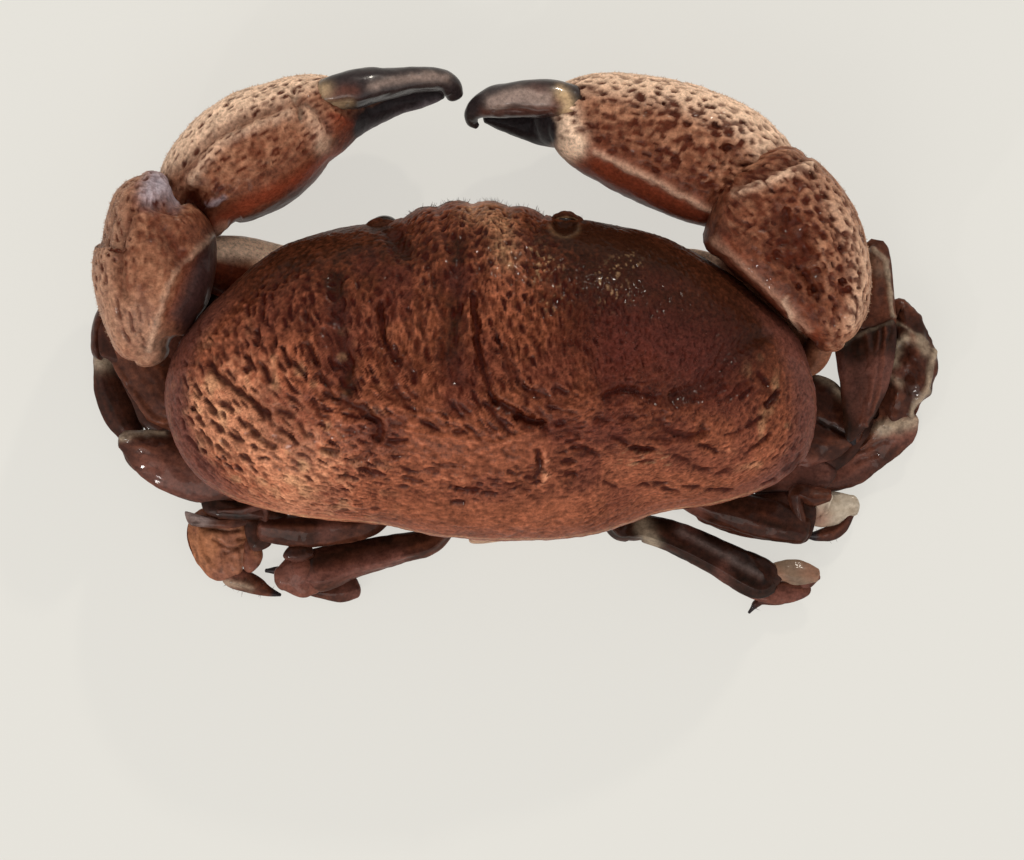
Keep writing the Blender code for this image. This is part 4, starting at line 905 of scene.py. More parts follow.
def sink_right_socket(skin):
    """Dip the shell round the right eye, darkened inside as painted shade, with a low pale rim behind it.
    """
    offset = (skin.points[:, :2] - np.array(EYES["eye_right"][:2]) - (0.0, -0.5)) * (1.0, 1.25)
    away = np.linalg.norm(offset, axis=1)
    facing = smooth_step(0.15, 0.40, skin.normals()[:, 2])
    dip = np.exp(-(away / SOCKET_REACH) ** 6) * facing
    rim = np.exp(-((away - SOCKET_RIM) / 0.36) ** 2) * smooth_step(0.9, -0.4, offset[:, 1]) * facing
    skin.points[:, 2] += 0.22 * rim - SOCKET_DEPTH * dip
    # Painted shade inside the dip
    skin.masks["tone"] -= 0.5 * dip
    skin.mark("pale", 0.09 * rim * (1 + 0.5 * value_noise(skin.points, 0.8, 305)))
    skin.mark("calm", np.exp(-(away / 2.6) ** 4))


def shell_grid():
    """The upper shell undressed, and how far out each point is: 0 at the centre, 1 at the rim."""
    up, across = grid(np.linspace(-1, 1, SHELL_ROWS + 1), np.linspace(-1, 1, SHELL_COLUMNS + 1))
    disc_x = across * np.sqrt(1 - up ** 2 / 2)
    disc_y = up * np.sqrt(1 - across ** 2 / 2)
    reach = np.clip(np.hypot(disc_x, disc_y), 0, 1)
    reach = 1 - (1 - reach) ** SHELL_EDGE_POWER
    angle = np.arctan2(disc_y * SHELL_HALF_SIZE[1], disc_x * SHELL_HALF_SIZE[0])
    rim = shell_radius()(angle)
    x = SHELL_CENTRE[0] + reach * rim * np.cos(angle)
    y = SHELL_CENTRE[1] + reach * rim * np.sin(angle)
    rise = np.clip(1 - reach ** (2.1 + 1.1 * smooth_step(-18, 20, y)), 0, 1) ** DOME_POWER
    points = np.stack((x, y, SHELL_RIM_HEIGHT + (SHELL_TOP - SHELL_RIM_HEIGHT) * rise), axis=1)
    row, column = grid(np.arange(SHELL_ROWS), np.arange(SHELL_COLUMNS))
    first = row * (SHELL_COLUMNS + 1) + column
    quads = np.stack((first, first + 1, first + SHELL_COLUMNS + 2, first + SHELL_COLUMNS + 1), axis=1)
    return Skin(points, [quads]), reach


def shell_top():
    """The upper shell with its furrows, hollows, grain and colours."""
    skin, reach = shell_grid()
    rest = skin.points.copy()
    across, down = plan_of(rest).T
    skin.flow = shell_flow(plan_of(rest))
    inside = smooth_step(1.0, 0.93, reach)
    # Darker towards the front: partly the shell's own darker front, partly painted shade on the front
    # slopes that face away from the light
    skin.masks["tone"] -= 0.12 * smooth_step(330, 235, down)
    skin.add_features(SHELL_FEATURES, top_only=False, depths=0.7, pits=1.3)
    sink_right_socket(skin)
    right, rear = smooth_step(530, 620, across), smooth_step(455, 500, down)
    add_shell_hollows(skin, rest, inside, right, rear)
    fibres = skin.streaks(0.36, 0.9, 71)
    grains = value_noise(rest, 0.55, 81)
    skin.masks["tone"] += 0.080 * fibres * (1 - 0.45 * right) * (1 - 0.4 * rear) + 0.10 * grains * inside
    skin.push(0.022 * fibres + 0.03 * grains * inside)
    add_shell_colours(skin, rest, inside)
    skin.roughen(4.0, 0.12, 21)
    add_shell_rim(skin, rest, reach)
    return skin


def add_shell_hollows(skin, rest, inside, right, rear):
    """A net of furrows and long hollows, finer and weaker to the right and the rear."""
    front = smooth_step(330, 280, plan_of(rest)[:, 1])
    coarse = (1 - 0.42 * right) * (1 - 0.25 * rear)
    long = coarse * (3.1 - 1.1 * front + 0.9 * value_noise(rest, 4, 5))
    short = coarse * (0.88 + 0.12 * front + 0.28 * value_noise(rest, 4, 6))
    patchy = 0.72 + 0.28 * value_noise(rest, 9, 7)
    share = inside * skin.lively() * patchy * (1 - 0.30 * right) * (1 - 0.25 * rear)
    furrows = smooth_step(0.95, 1.7, skin.streaks(0.75, 1.5, 73)) * share
    furrows *= 1 - 0.6 * right
    skin.mark("pit", 0.5 * furrows)
    skin.push(-0.14 * furrows)
    skin.add_pits(long, short, 0.38, share, seed=3, tint=1.9)
    fine_share = np.clip(0.8 * share + 0.25 * inside, 0, 1)
    skin.add_pits(long * 0.48, short * 0.40, 0.12, fine_share, seed=8, tint=1.0)


def add_shell_colours(skin, rest, inside):
    """Bright grains, ochre spots on the flanks, red patches and small wet glints."""
    spots = plan_of(rest)
    across, down = spots.T
    for zone in BRIGHT_ZONES:
        near = np.exp(-(path_distance(spots, zone) / 9) ** 2)
        flecks = smooth_step(0.8, 1.6, skin.streaks(0.32, 0.75, 91))
        skin.mark("pale", 0.34 * near * flecks)
        skin.mark("gloss", 0.9 * near)
        skin.push(0.08 * near * flecks)
    left = smooth_step(420, 300, across) * smooth_step(300, 400, down)
    flanks = left + 0.8 * smooth_step(715, 775, across) * smooth_step(340, 400, down)
    skin.mark("pale", 0.30 * flanks * smooth_step(0.25, 0.8, value_noise(rest, 1.8, 96)))
    patches = smooth_step(0.10, 0.6, value_noise(rest, 4.2, 95)) * skin.lively()
    skin.mark("red", 0.42 * patches * inside)
    skin.mark("gloss", smooth_step(0.35, 0.7, value_noise(rest, 0.8, 97)))


def add_shell_rim(skin, rest, reach):
    """A grey margin on the sides and the rear, with a thin pale line at the very edge."""
    across, down = plan_of(rest).T
    side = np.where(across < PLAN_MIDDLE[0], smooth_step(255, 330, down), smooth_step(280, 350, down))
    ends = smooth_step(230, 290, np.abs(across - 492))
    skin.mark("grey", smooth_step(0.89, 0.955, reach) * side * (0.25 + 0.65 * ends))
    line = smooth_step(0.984, 0.990, reach) * smooth_step(0.997, 0.992, reach)
    line_share = 0.4 * line * smooth_step(330, 400, down)
    skin.mark("pale", line_share * (0.7 + 0.3 * value_noise(rest, 2.0, 98)))
    skin.mark("gloss", 0.35 * smooth_step(0.0, 0.6, value_noise(rest, 6, 9)))


def shell_underside():
    """From just above the rim round under the body, closed flat."""
    angle = np.linspace(-math.pi, math.pi, UNDERSIDE_SECTORS, endpoint=False)
    along = np.linspace(0, 3, UNDERSIDE_ROUND_RINGS)
    inward = np.concatenate((np.interp(along, (0, 1, 2, 3), (0.998, 0.982, 0.91, 0.72)),
                             np.linspace(0.68, 0.08, UNDERSIDE_FLAT_RINGS)))
    height = np.concatenate((np.interp(along, (0, 1, 2, 3), (1.0, 0.9, 0.48, 0.02)),
                             np.zeros(UNDERSIDE_FLAT_RINGS)))
    kernel = np.array((1, 2, 3, 2, 1)) / 9
    for values in (inward, height):
        values[2:-2] = np.convolve(values, kernel, "valid")
    rim = shell_radius()(angle)
    x = SHELL_CENTRE[0] + inward[:, None] * rim * np.cos(angle)
    y = SHELL_CENTRE[1] + inward[:, None] * rim * np.sin(angle)
    z = SHELL_FLOOR_HEIGHT + (SHELL_RIM_HEIGHT - SHELL_FLOOR_HEIGHT) * height[:, None]
    points = np.stack((x, y, np.broadcast_to(z, x.shape)), axis=2).reshape(-1, 3)
    points = np.concatenate((points, [(*SHELL_CENTRE, SHELL_FLOOR_HEIGHT)]))
    quads = ring_faces(len(inward), UNDERSIDE_SECTORS)[:, ::-1]
    pole = len(inward) * UNDERSIDE_SECTORS
    fan = fan_faces(pole - UNDERSIDE_SECTORS, UNDERSIDE_SECTORS, pole, True)
    skin = Skin(points, [quads, fan[:, ::-1]])
    low = smooth_step(15.5, 10.5, skin.points[:, 2])
    grains = smooth_step(0.1, 0.6, value_noise(skin.points, 0.8, 33))
    skin.push(0.09 * grains)
    skin.masks["tone"] += 0.12 * grains + 0.12 * value_noise(skin.points, 3.0, 35) - 0.08
    skin.mark("pale", low * (0.45 + 0.25 * value_noise(skin.points, 6.0, 37)))
    skin.roughen(2.0, 0.06, 31)
    return skin


def turned(skin):
    """A skin of the underside, turned with the body's own axis."""
    turn = np.array(((math.cos(BELLY_TURN), -math.sin(BELLY_TURN)),
                     (math.sin(BELLY_TURN), math.cos(BELLY_TURN))))
    skin.points[:, :2] = skin.points[:, :2] @ turn.T
    return skin


def begin_in(parent, stations):
    """The limb begun inside the end of the piece before it."""
    x, y, z = parent[-1][:3]
    return [(x, y, z, NECK_WIDTH * min(parent[-1][3], stations[0][3]),
             NECK_HEIGHT * min(parent[-1][4], stations[0][4])), *stations]


def carry_on(stations, following):
    """The limb carried a little way into the piece after it, unless that one folds back."""
    before, end, start = (np.array(row) for row in (stations[-2], stations[-1], following[0]))
    if unit(end[:2] - before[:2]) @ unit(start[:2] - end[:2]) < 0.3:
        return stations
    share = min(0.8, 1.3 / max(np.linalg.norm(start[:3] - end[:3]), 0.1))
    middle = end + share * (start - end)
    middle[3:] = 0.7 * np.minimum(end[3:], 1.2 * start[3:])
    return [*stations, tuple(middle)]


def begin_in_breastplate(stations):
    """The limb begun inside the breastplate."""
    x, y, z, half_width, half_height = stations[0]
    return [(x * ROOT_SHARE, y * ROOT_SHARE, z, half_width * ROOT_SHARE, half_height * ROOT_SHARE),
            *stations]


def new_node(tree, kind, inputs=None, **settings):
    """A node with its settings, and a socket to link or a value for each input that is given."""
    node = tree.nodes.new(kind)
    for name, value in settings.items():
        setattr(node, name, value)
    for name, value in (inputs or {}).items():
        feed(tree, value, node.inputs[name])
    return node


def feed(tree, value, socket):
    if isinstance(value, bpy.types.NodeSocket):
        tree.links.new(value, socket)
    else:
        socket.default_value = value


def mix_colours(tree, factor, first, second, blend="MIX"):
    """A colour mix of two colours, each a socket or three numbers."""
    first, second = (colour if isinstance(colour, bpy.types.NodeSocket) else (*colour, 1.0)
                     for colour in (first, second))
    return new_node(tree, "ShaderNodeMix", {0: factor, 6: first, 7: second}, data_type="RGBA",
                    blend_type=blend).outputs[2]


def calculate(tree, operation, *values):
    return new_node(tree, "ShaderNodeMath", dict(enumerate(values)), operation=operation).outputs[0]


def noise_node(tree, coordinates, scale, detail, roughness):
    inputs = {"Vector": coordinates, "Scale": scale, "Detail": detail, "Roughness": roughness}
    return new_node(tree, "ShaderNodeTexNoise", inputs).outputs["Fac"]


def open_sockets(group, in_out, **kinds):
    """Named inputs or outputs of a node group."""
    for name, kind in kinds.items():
        group.interface.new_socket(name.replace("_", " "), in_out=in_out, socket_type="NodeSocket" + kind)


# How many cells of noise or specks there are to the metre
MOTTLE_SCALE = 650.0
GRAIN_SCALE = 2000.0
SPECK_SCALE = 1500.0
BLOTCH_SCALE = 210.0
STREAK_SCALE = 480.0


def make_grain_group():
    """Fine mottling, tiny specks and a height for the bump, shared by every finish."""
    group = bpy.data.node_groups.new("chitin_grain", "ShaderNodeTree")
    open_sockets(group, "INPUT", Color="Color", Strength="Float")
    open_sockets(group, "OUTPUT", Color="Color", Height="Float")
    entry = new_node(group, "NodeGroupInput").outputs
    place = new_node(group, "ShaderNodeTexCoord").outputs["Object"]
    medium = noise_node(group, place, MOTTLE_SCALE, 5.0, 0.65)
    fine = noise_node(group, place, GRAIN_SCALE, 4.0, 0.7)
    light = calculate(group, "MULTIPLY_ADD", medium, 1.2, -1.0)
    light = calculate(group, "MULTIPLY_ADD", fine, 2.9, light)
    light = calculate(group, "MAXIMUM", light, 0.12)
    light = calculate(group, "SUBTRACT", light, 1.0)
    light = calculate(group, "MULTIPLY_ADD", light, entry["Strength"], 1.0)
    grey = new_node(group, "ShaderNodeCombineColor", {"Red": light, "Green": light, "Blue": light})
    colour = mix_colours(group, 1.0, entry["Color"], grey.outputs[0], "MULTIPLY")
    specks = new_node(group, "ShaderNodeTexVoronoi", {"Scale": SPECK_SCALE, "Vector": place})
    dots = calculate(group, "LESS_THAN", specks.outputs["Distance"], 0.16)
    dots = calculate(group, "MULTIPLY", dots, 0.35)
    dots = calculate(group, "MULTIPLY", dots, entry["Strength"])
    colour = mix_colours(group, dots, colour, SPECK)
    height = calculate(group, "MULTIPLY_ADD", fine, 0.5, medium)
    new_node(group, "NodeGroupOutput", {"Color": colour, "Height": height})
    return group


# What all finishes share: where their four colours lie by tone, the depth of the bump in
# millimetres, and how rough the coat and the smoothest places are
RAMP_PLACES = (0.0, 0.33, 0.66, 1.0)
BUMP_DEPTH = 0.2
COAT_ROUGHNESS = 0.08
LEAST_ROUGHNESS = 0.08

# A finish: four colours from dark to light, the colours of the pit-and-shade, pale, red and grey masks, and
# the numbers of its surface
MASK_COLOURS = ("pit", "pale", "red", "grey")
SURFACE = ("specular", "rough", "coat", "bump", "vary", "grain")
FINISHES = {
    "shell": ([(0.026, 0.008, 0.0035), (0.092, 0.025, 0.011), (0.29, 0.089, 0.044), (0.53, 0.22, 0.118)],
              [(0.03, 0.0036, 0.0016), (0.62, 0.38, 0.2), (0.085, 0.02, 0.015), (0.115, 0.04, 0.03)],
              (0.02, 0.44, 0.09, 0.3, 0.28, 0.85)),
    "claw": ([(0.05, 0.015, 0.008), (0.15, 0.05, 0.026), (0.35, 0.165, 0.095), (0.52, 0.3, 0.19)],
             [(0.06, 0.01, 0.004), (0.86, 0.6, 0.425), (0.2, 0.04, 0.018), (0.36, 0.3, 0.33)],
             (0.03, 0.42, 0.08, 0.3, 0.22, 0.75)),
    "finger": ([(0.012, 0.01, 0.011), (0.026, 0.018, 0.018), (0.06, 0.04, 0.036), (0.12, 0.08, 0.07)],
               [(0.02, 0.012, 0.01), (0.5, 0.34, 0.19), (0.16, 0.05, 0.03), (0.26, 0.185, 0.155)],
               (0.14, 0.3, 0.2, 0.12, 0.35, 0.6)),
    "leg": ([(0.012, 0.005, 0.003), (0.045, 0.014, 0.008), (0.13, 0.042, 0.022), (0.33, 0.13, 0.062)],
            [(0.022, 0.006, 0.004), (0.4, 0.31, 0.22), (0.165, 0.062, 0.046), (0.2, 0.145, 0.13)],
            (0.04, 0.34, 0.14, 0.2, 0.22, 0.62)),
    "leg_pale": ([(0.16, 0.11, 0.075), (0.27, 0.21, 0.15), (0.44, 0.37, 0.29), (0.6, 0.53, 0.44)],
                 [(0.1, 0.06, 0.04), (0.62, 0.56, 0.48), (0.3, 0.13, 0.08), (0.3, 0.27, 0.25)],
                 (0.08, 0.45, 0.08, 0.2, 0.3, 0.35)),
    "belly": ([(0.14, 0.07, 0.04), (0.28, 0.16, 0.09), (0.46, 0.31, 0.19), (0.6, 0.45, 0.3)],
              [(0.12, 0.05, 0.03), (0.62, 0.5, 0.36), (0.3, 0.12, 0.06), (0.24, 0.17, 0.14)],
              (0.22, 0.5, 0.15, 0.25, 0.34, 0.8)),
    "eye": ([(0.006, 0.004, 0.004), (0.012, 0.007, 0.006), (0.03, 0.018, 0.012), (0.06, 0.04, 0.03)],
            [(0.01, 0.005, 0.005), (0.3, 0.22, 0.16), (0.05, 0.02, 0.01), (0.08, 0.06, 0.06)],
            (0.15, 0.12, 0.3, 0.03, 0.2, 0.2)),
}

# Hairs have one colour, and a specular level, roughness and coat of their own
HAIRS = {
    "bristle": ((0.06, 0.03, 0.018), (0.2, 0.5, 0.05)),
    "fuzz": ((0.11, 0.042, 0.03), (0.1, 0.6, 0.0)),
    "down": ((0.5, 0.33, 0.22), (0.2, 0.6, 0.0)),
}
for hair_name, (hair_colour, hair_surface) in HAIRS.items():
    FINISHES[hair_name] = ([hair_colour] * 4, [hair_colour] * 4, (*hair_surface, 0.1, 0.0, 0.3))

# The black of the claw and leg tips, also used as painted shade on the left claw next to the shell, and the
# dark brown of tiny specks everywhere
HORN_AND_SHADE = (0.020, 0.015, 0.016)
SPECK = (0.05, 0.015, 0.01)


def make_finish(name, grain):
    """One finish: the masks choose between its colours, and noise breaks them up."""
    ramp_colours, mask_colours, surface = FINISHES[name]
    colours = dict(zip(MASK_COLOURS, mask_colours), horn=HORN_AND_SHADE)
    surface = dict(zip(SURFACE, surface))
    material = bpy.data.materials.new("crab_" + name)
    material.use_nodes = True
    tree = material.node_tree
    place = new_node(tree, "ShaderNodeTexCoord").outputs["Object"]
    mask = {}
    for mask_name in MASKS[:-1]:
        mask[mask_name] = new_node(tree, "ShaderNodeAttribute", attribute_name=mask_name).outputs["Fac"]
    blotch = noise_node(tree, place, BLOTCH_SCALE, 5.0, 0.62)
    shift = calculate(tree, "MULTIPLY_ADD", blotch, surface["vary"], -0.5 * surface["vary"])
    ramp = new_node(tree, "ShaderNodeValToRGB", {"Fac": calculate(tree, "ADD", mask["tone"], shift)})
    elements = ramp.color_ramp.elements
    for index, (position, colour) in enumerate(zip(RAMP_PLACES, ramp_colours)):
        if index > 1:
            elements.new(position)
        elements[index].position = position
        elements[index].color = (*colour, 1.0)
    streak = noise_node(tree, place, STREAK_SCALE, 4.0, 0.6)
    uneven = calculate(tree, "MULTIPLY_ADD", streak, 0.8, 0.6)
    colour = ramp.outputs["Color"]
    for mask_name in ("red", "pale", "horn", "grey"):
        amount = mask[mask_name]
        if mask_name != "horn":
            amount = calculate(tree, "MINIMUM", calculate(tree, "MULTIPLY", amount, uneven), 1.0)
        colour = mix_colours(tree, amount, colour, colours[mask_name])
    colour = mix_colours(tree, calculate(tree, "MULTIPLY", mask["pit"], 0.96), colour, colours["pit"])
    detail = new_node(tree, "ShaderNodeGroup", node_tree=grain)
    detail.inputs["Strength"].default_value = surface["grain"]
    tree.links.new(colour, detail.inputs["Color"])
    rough = calculate(tree, "MULTIPLY_ADD", streak, 0.30, surface["rough"] - 0.15)
    rough = calculate(tree, "MULTIPLY_ADD", mask["gloss"], -0.22, rough)
    bump = new_node(tree, "ShaderNodeBump", {"Strength": surface["bump"], "Distance": BUMP_DEPTH * MM,
                                             "Height": detail.outputs["Height"]})
    shader = tree.nodes["Principled BSDF"]
    for socket, value in {"Base Color": detail.outputs["Color"],
                          "Roughness": calculate(tree, "MAXIMUM", rough, LEAST_ROUGHNESS),
                          "Normal": bump.outputs["Normal"], "Specular IOR Level": surface["specular"],
                          "Coat Weight": surface["coat"], "Coat Roughness": COAT_ROUGHNESS}.items():
        feed(tree, value, shader.inputs[socket])
    return material


def add_object(name, data):
    item = bpy.data.objects.new(name, data)
    bpy.context.scene.collection.objects.link(item)
    return item


def add_mesh(name, points, faces):
    """An object at the origin, with its place in its mesh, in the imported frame's metres."""
    mesh = bpy.data.meshes.new(name)
    mesh.from_pydata(((points + CAD_SHIFT) * MM).tolist(), [], faces)
    return add_object(name, mesh)


def set_values(mesh, name, values):
    mesh.attributes.new(name, "FLOAT", "POINT").data.foreach_set("value", values.astype(np.float32))


def make_piece(name, skin, material, nodes=()):
    """A skin as a finished piece, in place of the nodes that it stands for."""
    faces = []
    for group in skin.faces:
        faces.extend(group.tolist())
    piece = add_mesh(name, skin.points, faces)
    for mask, values in skin.masks.items():
        set_values(piece.data, mask, values)
    piece.data.materials.append(material)
    piece.data.shade_smooth()
    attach(piece, "root")
    if nodes:
        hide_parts(*nodes)


def make_bristle_tree():
    """Thin cones scattered over a mesh where its "hair" attribute lets them grow."""
    tree = bpy.data.node_groups.new("bristles", "GeometryNodeTree")
    open_sockets(tree, "INPUT", Geometry="Geometry", Density="Float", Length="Float", Base_Radius="Float",
                 Tip_Radius="Float", Seed="Int", Size_Seed="Int", Material="Material")
    open_sockets(tree, "OUTPUT", Geometry="Geometry")
    entry = new_node(tree, "NodeGroupInput").outputs
    share = new_node(tree, "GeometryNodeInputNamedAttribute", {"Name": "hair"}, data_type="FLOAT")
    thick = calculate(tree, "MULTIPLY", share.outputs["Attribute"], entry["Density"])
    scatter = new_node(tree, "GeometryNodeDistributePointsOnFaces",
                       {"Mesh": entry["Geometry"], "Density": thick, "Seed": entry["Seed"]}).outputs
    cone = new_node(tree, "GeometryNodeMeshCone",
                    {"Vertices": BRISTLE_SIDES, "Radius Top": entry["Tip Radius"],
                     "Radius Bottom": entry["Base Radius"], "Depth": entry["Length"]})
    lean = new_node(tree, "FunctionNodeRandomValue",
                    {"Min": (-BRISTLE_LEAN, -BRISTLE_LEAN, 0.0),
                     "Max": (BRISTLE_LEAN, BRISTLE_LEAN, BRISTLE_TURN), "Seed": entry["Seed"]},
                    data_type="FLOAT_VECTOR")
    least, most = BRISTLE_SIZES
    size = new_node(tree, "FunctionNodeRandomValue", {2: least, 3: most, "Seed": entry["Size Seed"]},
                    data_type="FLOAT")
    placed = new_node(tree, "GeometryNodeInstanceOnPoints",
                      {"Points": scatter["Points"], "Instance": cone.outputs["Mesh"],
                       "Rotation": scatter["Rotation"], "Scale": size.outputs[1]})
    tilted = new_node(tree, "GeometryNodeRotateInstances",
                      {"Instances": placed.outputs[0], "Rotation": lean.outputs[0]})
    real = new_node(tree, "GeometryNodeRealizeInstances", {0: tilted.outputs[0]})
    painted = new_node(tree, "GeometryNodeSetMaterial",
                       {"Geometry": real.outputs[0], "Material": entry["Material"]})
    new_node(tree, "NodeGroupOutput", {0: painted.outputs[0]})


def grow_bristles(name, skin, share, density, length, material, seed):
    """Bristles on the part of a skin where share is above zero, as one finished mesh."""
    faces = []
    for group in skin.faces:
        faces.extend(group[share[group].min(axis=1) > 0.02].tolist())
    piece = add_mesh(name, skin.points, faces)
    base = piece.data
    set_values(base, "hair", share)
    modifier = piece.modifiers.new("bristles", "NODES")
    modifier.node_group = bpy.data.node_groups["bristles"]
    base_radius, tip_radius = BRISTLE_RADII
    inputs = {"Density": density / MM ** 2, "Length": length * MM, "Base Radius": base_radius * MM,
              "Tip Radius": tip_radius * MM, "Seed": seed, "Size Seed": seed + 1, "Material": material}
    for socket in modifier.node_group.interface.items_tree:
        if socket.name in inputs:
            modifier[socket.identifier] = inputs[socket.name]
    grown = bpy.data.meshes.new_from_object(piece.evaluated_get(bpy.context.evaluated_depsgraph_get()))
    piece.modifiers.remove(modifier)
    piece.data = grown
    bpy.data.meshes.remove(base)
    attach(piece, "root")


def dress_claws(finish):
    for name, stations in CLAWS.items():
        if name.startswith("finger"):
            skin = limb_skin(stations, 0.2)
            skin.masks["tone"] -= 0.15
            skin.add_features(CLAW_FEATURES[name])
            skin.roughen(4.0, 0.14, 41)
            make_piece(name + "_skin", skin, finish["finger"], [name])
        else:
            dress_claw_piece(name, stations, finish)


def dress_claw_piece(name, stations, finish):
    """An arm, wrist or palm: darker and smooth on its inner face, partly with painted shade where it faces
    the shell, paler and downy on its outer one.
    """
    settings = CLAW_SKINS[name]
    is_arm = name.startswith("arm")
    skin = limb_skin(begin_in_breastplate(stations) if is_arm else stations, 0.27)
    normals = skin.normals()
    outward = normals[:, 0] * settings["outer"][0] + normals[:, 1] * settings["outer"][1]
    skin.mark("pale", settings["velvet"] * smooth_step(0.15, 0.85, outward))
    # The inner face is made darker, partly its own colour and partly painted shade where it faces the shell
    skin.masks["tone"] -= 0.35 * smooth_step(0.1, 0.9, -outward)
    skin.mark("calm", 1.3 * smooth_step(0.35, 0.75, -outward))
    skin.add_features(CLAW_FEATURES[name])
    if settings["hollow"]:
        add_claw_hollows(skin, settings)
    skin.roughen(4.0, 0.14, 41)
    make_piece(name + "_skin", skin, finish["claw"], [name])
    if not is_arm:
        down = smooth_step(0.35, 0.9, outward) * (1 - skin.masks["horn"])
        grow_bristles(name + "_down", skin, down, 2.2, 0.30, finish["down"], 71)


def add_claw_hollows(skin, settings):
    """A net of furrows and hollows, where the skin is neither calm, black horn nor painted shade."""
    share = (1 - skin.masks["calm"]) * (1 - skin.masks["horn"])
    share = share * (0.8 + 0.2 * value_noise(skin.points, 8, 4))
    long, short = settings["hollow"]
    net = smooth_step(0.45, 1.25, skin.streaks(0.62 * short, 0.5 * long, 75)) * share
    skin.mark("pit", settings["net"] * net)
    skin.push(-0.55 * settings["depth"] * net)
    skin.add_pits(long, short, settings["depth"], share, seed=17, tint=settings["tint"])
    grains = value_noise(skin.points, 0.6, 83)
    skin.masks["tone"] += 0.07 * skin.streaks(0.5, 1.4, 85) + 0.10 * grains
    skin.push(0.03 * grains)


def dress_legs(finish):
    for leg, pieces in LEGS.items():
        carrier = None
        names = list(pieces)
        for index, (piece, stations) in enumerate(pieces.items()):
            name = leg + "_" + piece
            begun = begin_in(carrier, stations) if carrier else begin_in_breastplate(stations)
            if index + 1 < len(names):
                begun = carry_on(begun, pieces[names[index + 1]])
            skin = limb_skin(begun, 0.2, 1.35, ridge=LEG_RIDGES.get(name, LEG_RIDGE), blunt=0.55)
            if piece == "tip":
                along = np.linalg.norm(skin.points - np.array(stations[-1][:3]), axis=1)
                skin.mark("horn", smooth_step(1.7, 0.9, along))
                grow_bristles(name + "_fringe", skin, smooth_step(0.8, 2.0, along), 1.6, 0.55,
                              finish["bristle"], 61)
            finish_leg(name, skin)
            colour = "leg_pale" if name in PALE_LEG_PIECES else "leg"
            make_piece(name + "_skin", skin, finish[colour], [name])
            carrier = stations
    for name, (height, half_thickness, tone, *outline) in PLATES.items():
        skin = plate_skin(outline, height, half_thickness)
        skin.masks["tone"] += tone
        finish_leg(name, skin)
        make_piece(name, skin, finish["leg"])


def finish_leg(name, skin):
    """What the skins of all leg pieces and their plates share: wrinkles, red patches and glints."""
    skin.masks["tone"] += LEG_TONES.get(name, LEG_TONE)
    skin.add_features(LEG_FEATURES.get(name, []))
    crumple = LEG_CRUMPLES.get(name, LEG_CRUMPLE)
    wrinkles = skin.streaks(0.7, 3.0, 53)
    skin.push(crumple * fractal(skin.points, 2.6, 3, 51) + 0.022 * wrinkles)
    skin.masks["tone"] += 0.05 * wrinkles + 0.10 * value_noise(skin.points, 0.6, 58)
    skin.mark("pit", 0.45 * smooth_step(0.9, 1.9, skin.streaks(0.5, 1.2, 59)))
    skin.mark("red", 0.5 * smooth_step(0.1, 0.7, value_noise(skin.points, 4.5, 55)))
    skin.mark("gloss", 0.6 * smooth_step(0.1, 0.6, value_noise(skin.points, 2.5, 56)))


def seam_distance(values, seams):
    return np.abs(values[:, None] - np.array(seams)).min(axis=1)


def dress_underside(finish):
    parts = [("breastplate", BREASTPLATE, 0.7, (FLAT_HEIGHT, BREASTPLATE_TOP), 0.35),
             ("tail_flap", TAIL_FLAP, 0.6, (0.0, SHELL_TOP), 0.3)]
    for side, sign in (("left", -1), ("right", 1)):
        mirrored = [(sign * station[0], *station[1:]) for station in MOUTHPART]
        parts.append(("mouthpart_" + side, mirrored, 0.7, (FLAT_HEIGHT, SHELL_TOP), 0.22))
    for name, stations, squareness, heights, step in parts:
        skin = limb_skin(stations, step, squareness, across=(1.0, 0.0, 0.0))
        x, y, z = skin.points.T
        if name == "tail_flap":
            walked = np.where(z > TAIL_BEND_HEIGHT, TAIL_FLAP[0][2] - z, TAIL_BEND_WALK + y)
            seams = seam_distance(walked, TAIL_SEAMS)
        elif name == "breastplate":
            seams = seam_distance(y - 0.45 * np.abs(x) + 0.02 * x ** 2, BREASTPLATE_SEAMS)
            seams = np.where(np.abs(x) > 4.5, seams, 9.0)
        else:
            seams = seam_distance(z, MOUTHPART_SEAMS)
        groove = np.exp(-(seams / SEAM_HALF_WIDTH) ** 2)
        skin.push(-SEAM_DEPTH * groove)
        skin.mark("pit", 0.55 * groove)
        skin.mark("red", 0.35 * smooth_step(0.0, 0.6, value_noise(skin.points, 5.0, 63)))
        skin.mark("pit", 0.5 * smooth_step(0.45, 0.75, value_noise(skin.points, 0.7, 65)))
        skin.roughen(3.0, 0.08, 61)
        skin.points[:, 2] = np.clip(skin.points[:, 2], *heights)
        make_piece(name + "_skin", turned(skin), finish["belly"], [name])


def socket_ring(centre, radii, thick, seed):
    """A lumpy closed ring of skin, with a paler inner edge."""
    around, about = grid(np.linspace(0, 2 * math.pi, SOCKET_TURNS, endpoint=False),
                         np.linspace(0, 2 * math.pi, SOCKET_SIDES, endpoint=False))
    out = np.stack((np.cos(around), np.sin(around), np.zeros(len(around))), axis=1)
    lumpy = thick * (1 + 0.25 * value_noise(2.0 * out, 0.5, seed))
    points = (np.array(centre) + out * np.array((*radii, 0.0))
              + lumpy[:, None] * (np.cos(about)[:, None] * out + np.sin(about)[:, None] * (0, 0, 1)))
    faces = ring_faces(SOCKET_TURNS + 1, SOCKET_SIDES)[:, ::-1] % len(points)
    skin = Skin(points, [faces], np.stack((-out[:, 1], out[:, 0], out[:, 2]), 1))
    skin.mark("pale", 0.55 * smooth_step(0.2, 0.8, -np.cos(about)) * smooth_step(0.0, 0.6, np.sin(about)))
    skin.roughen(0.6, 0.07, seed + 1, 2)
    return skin


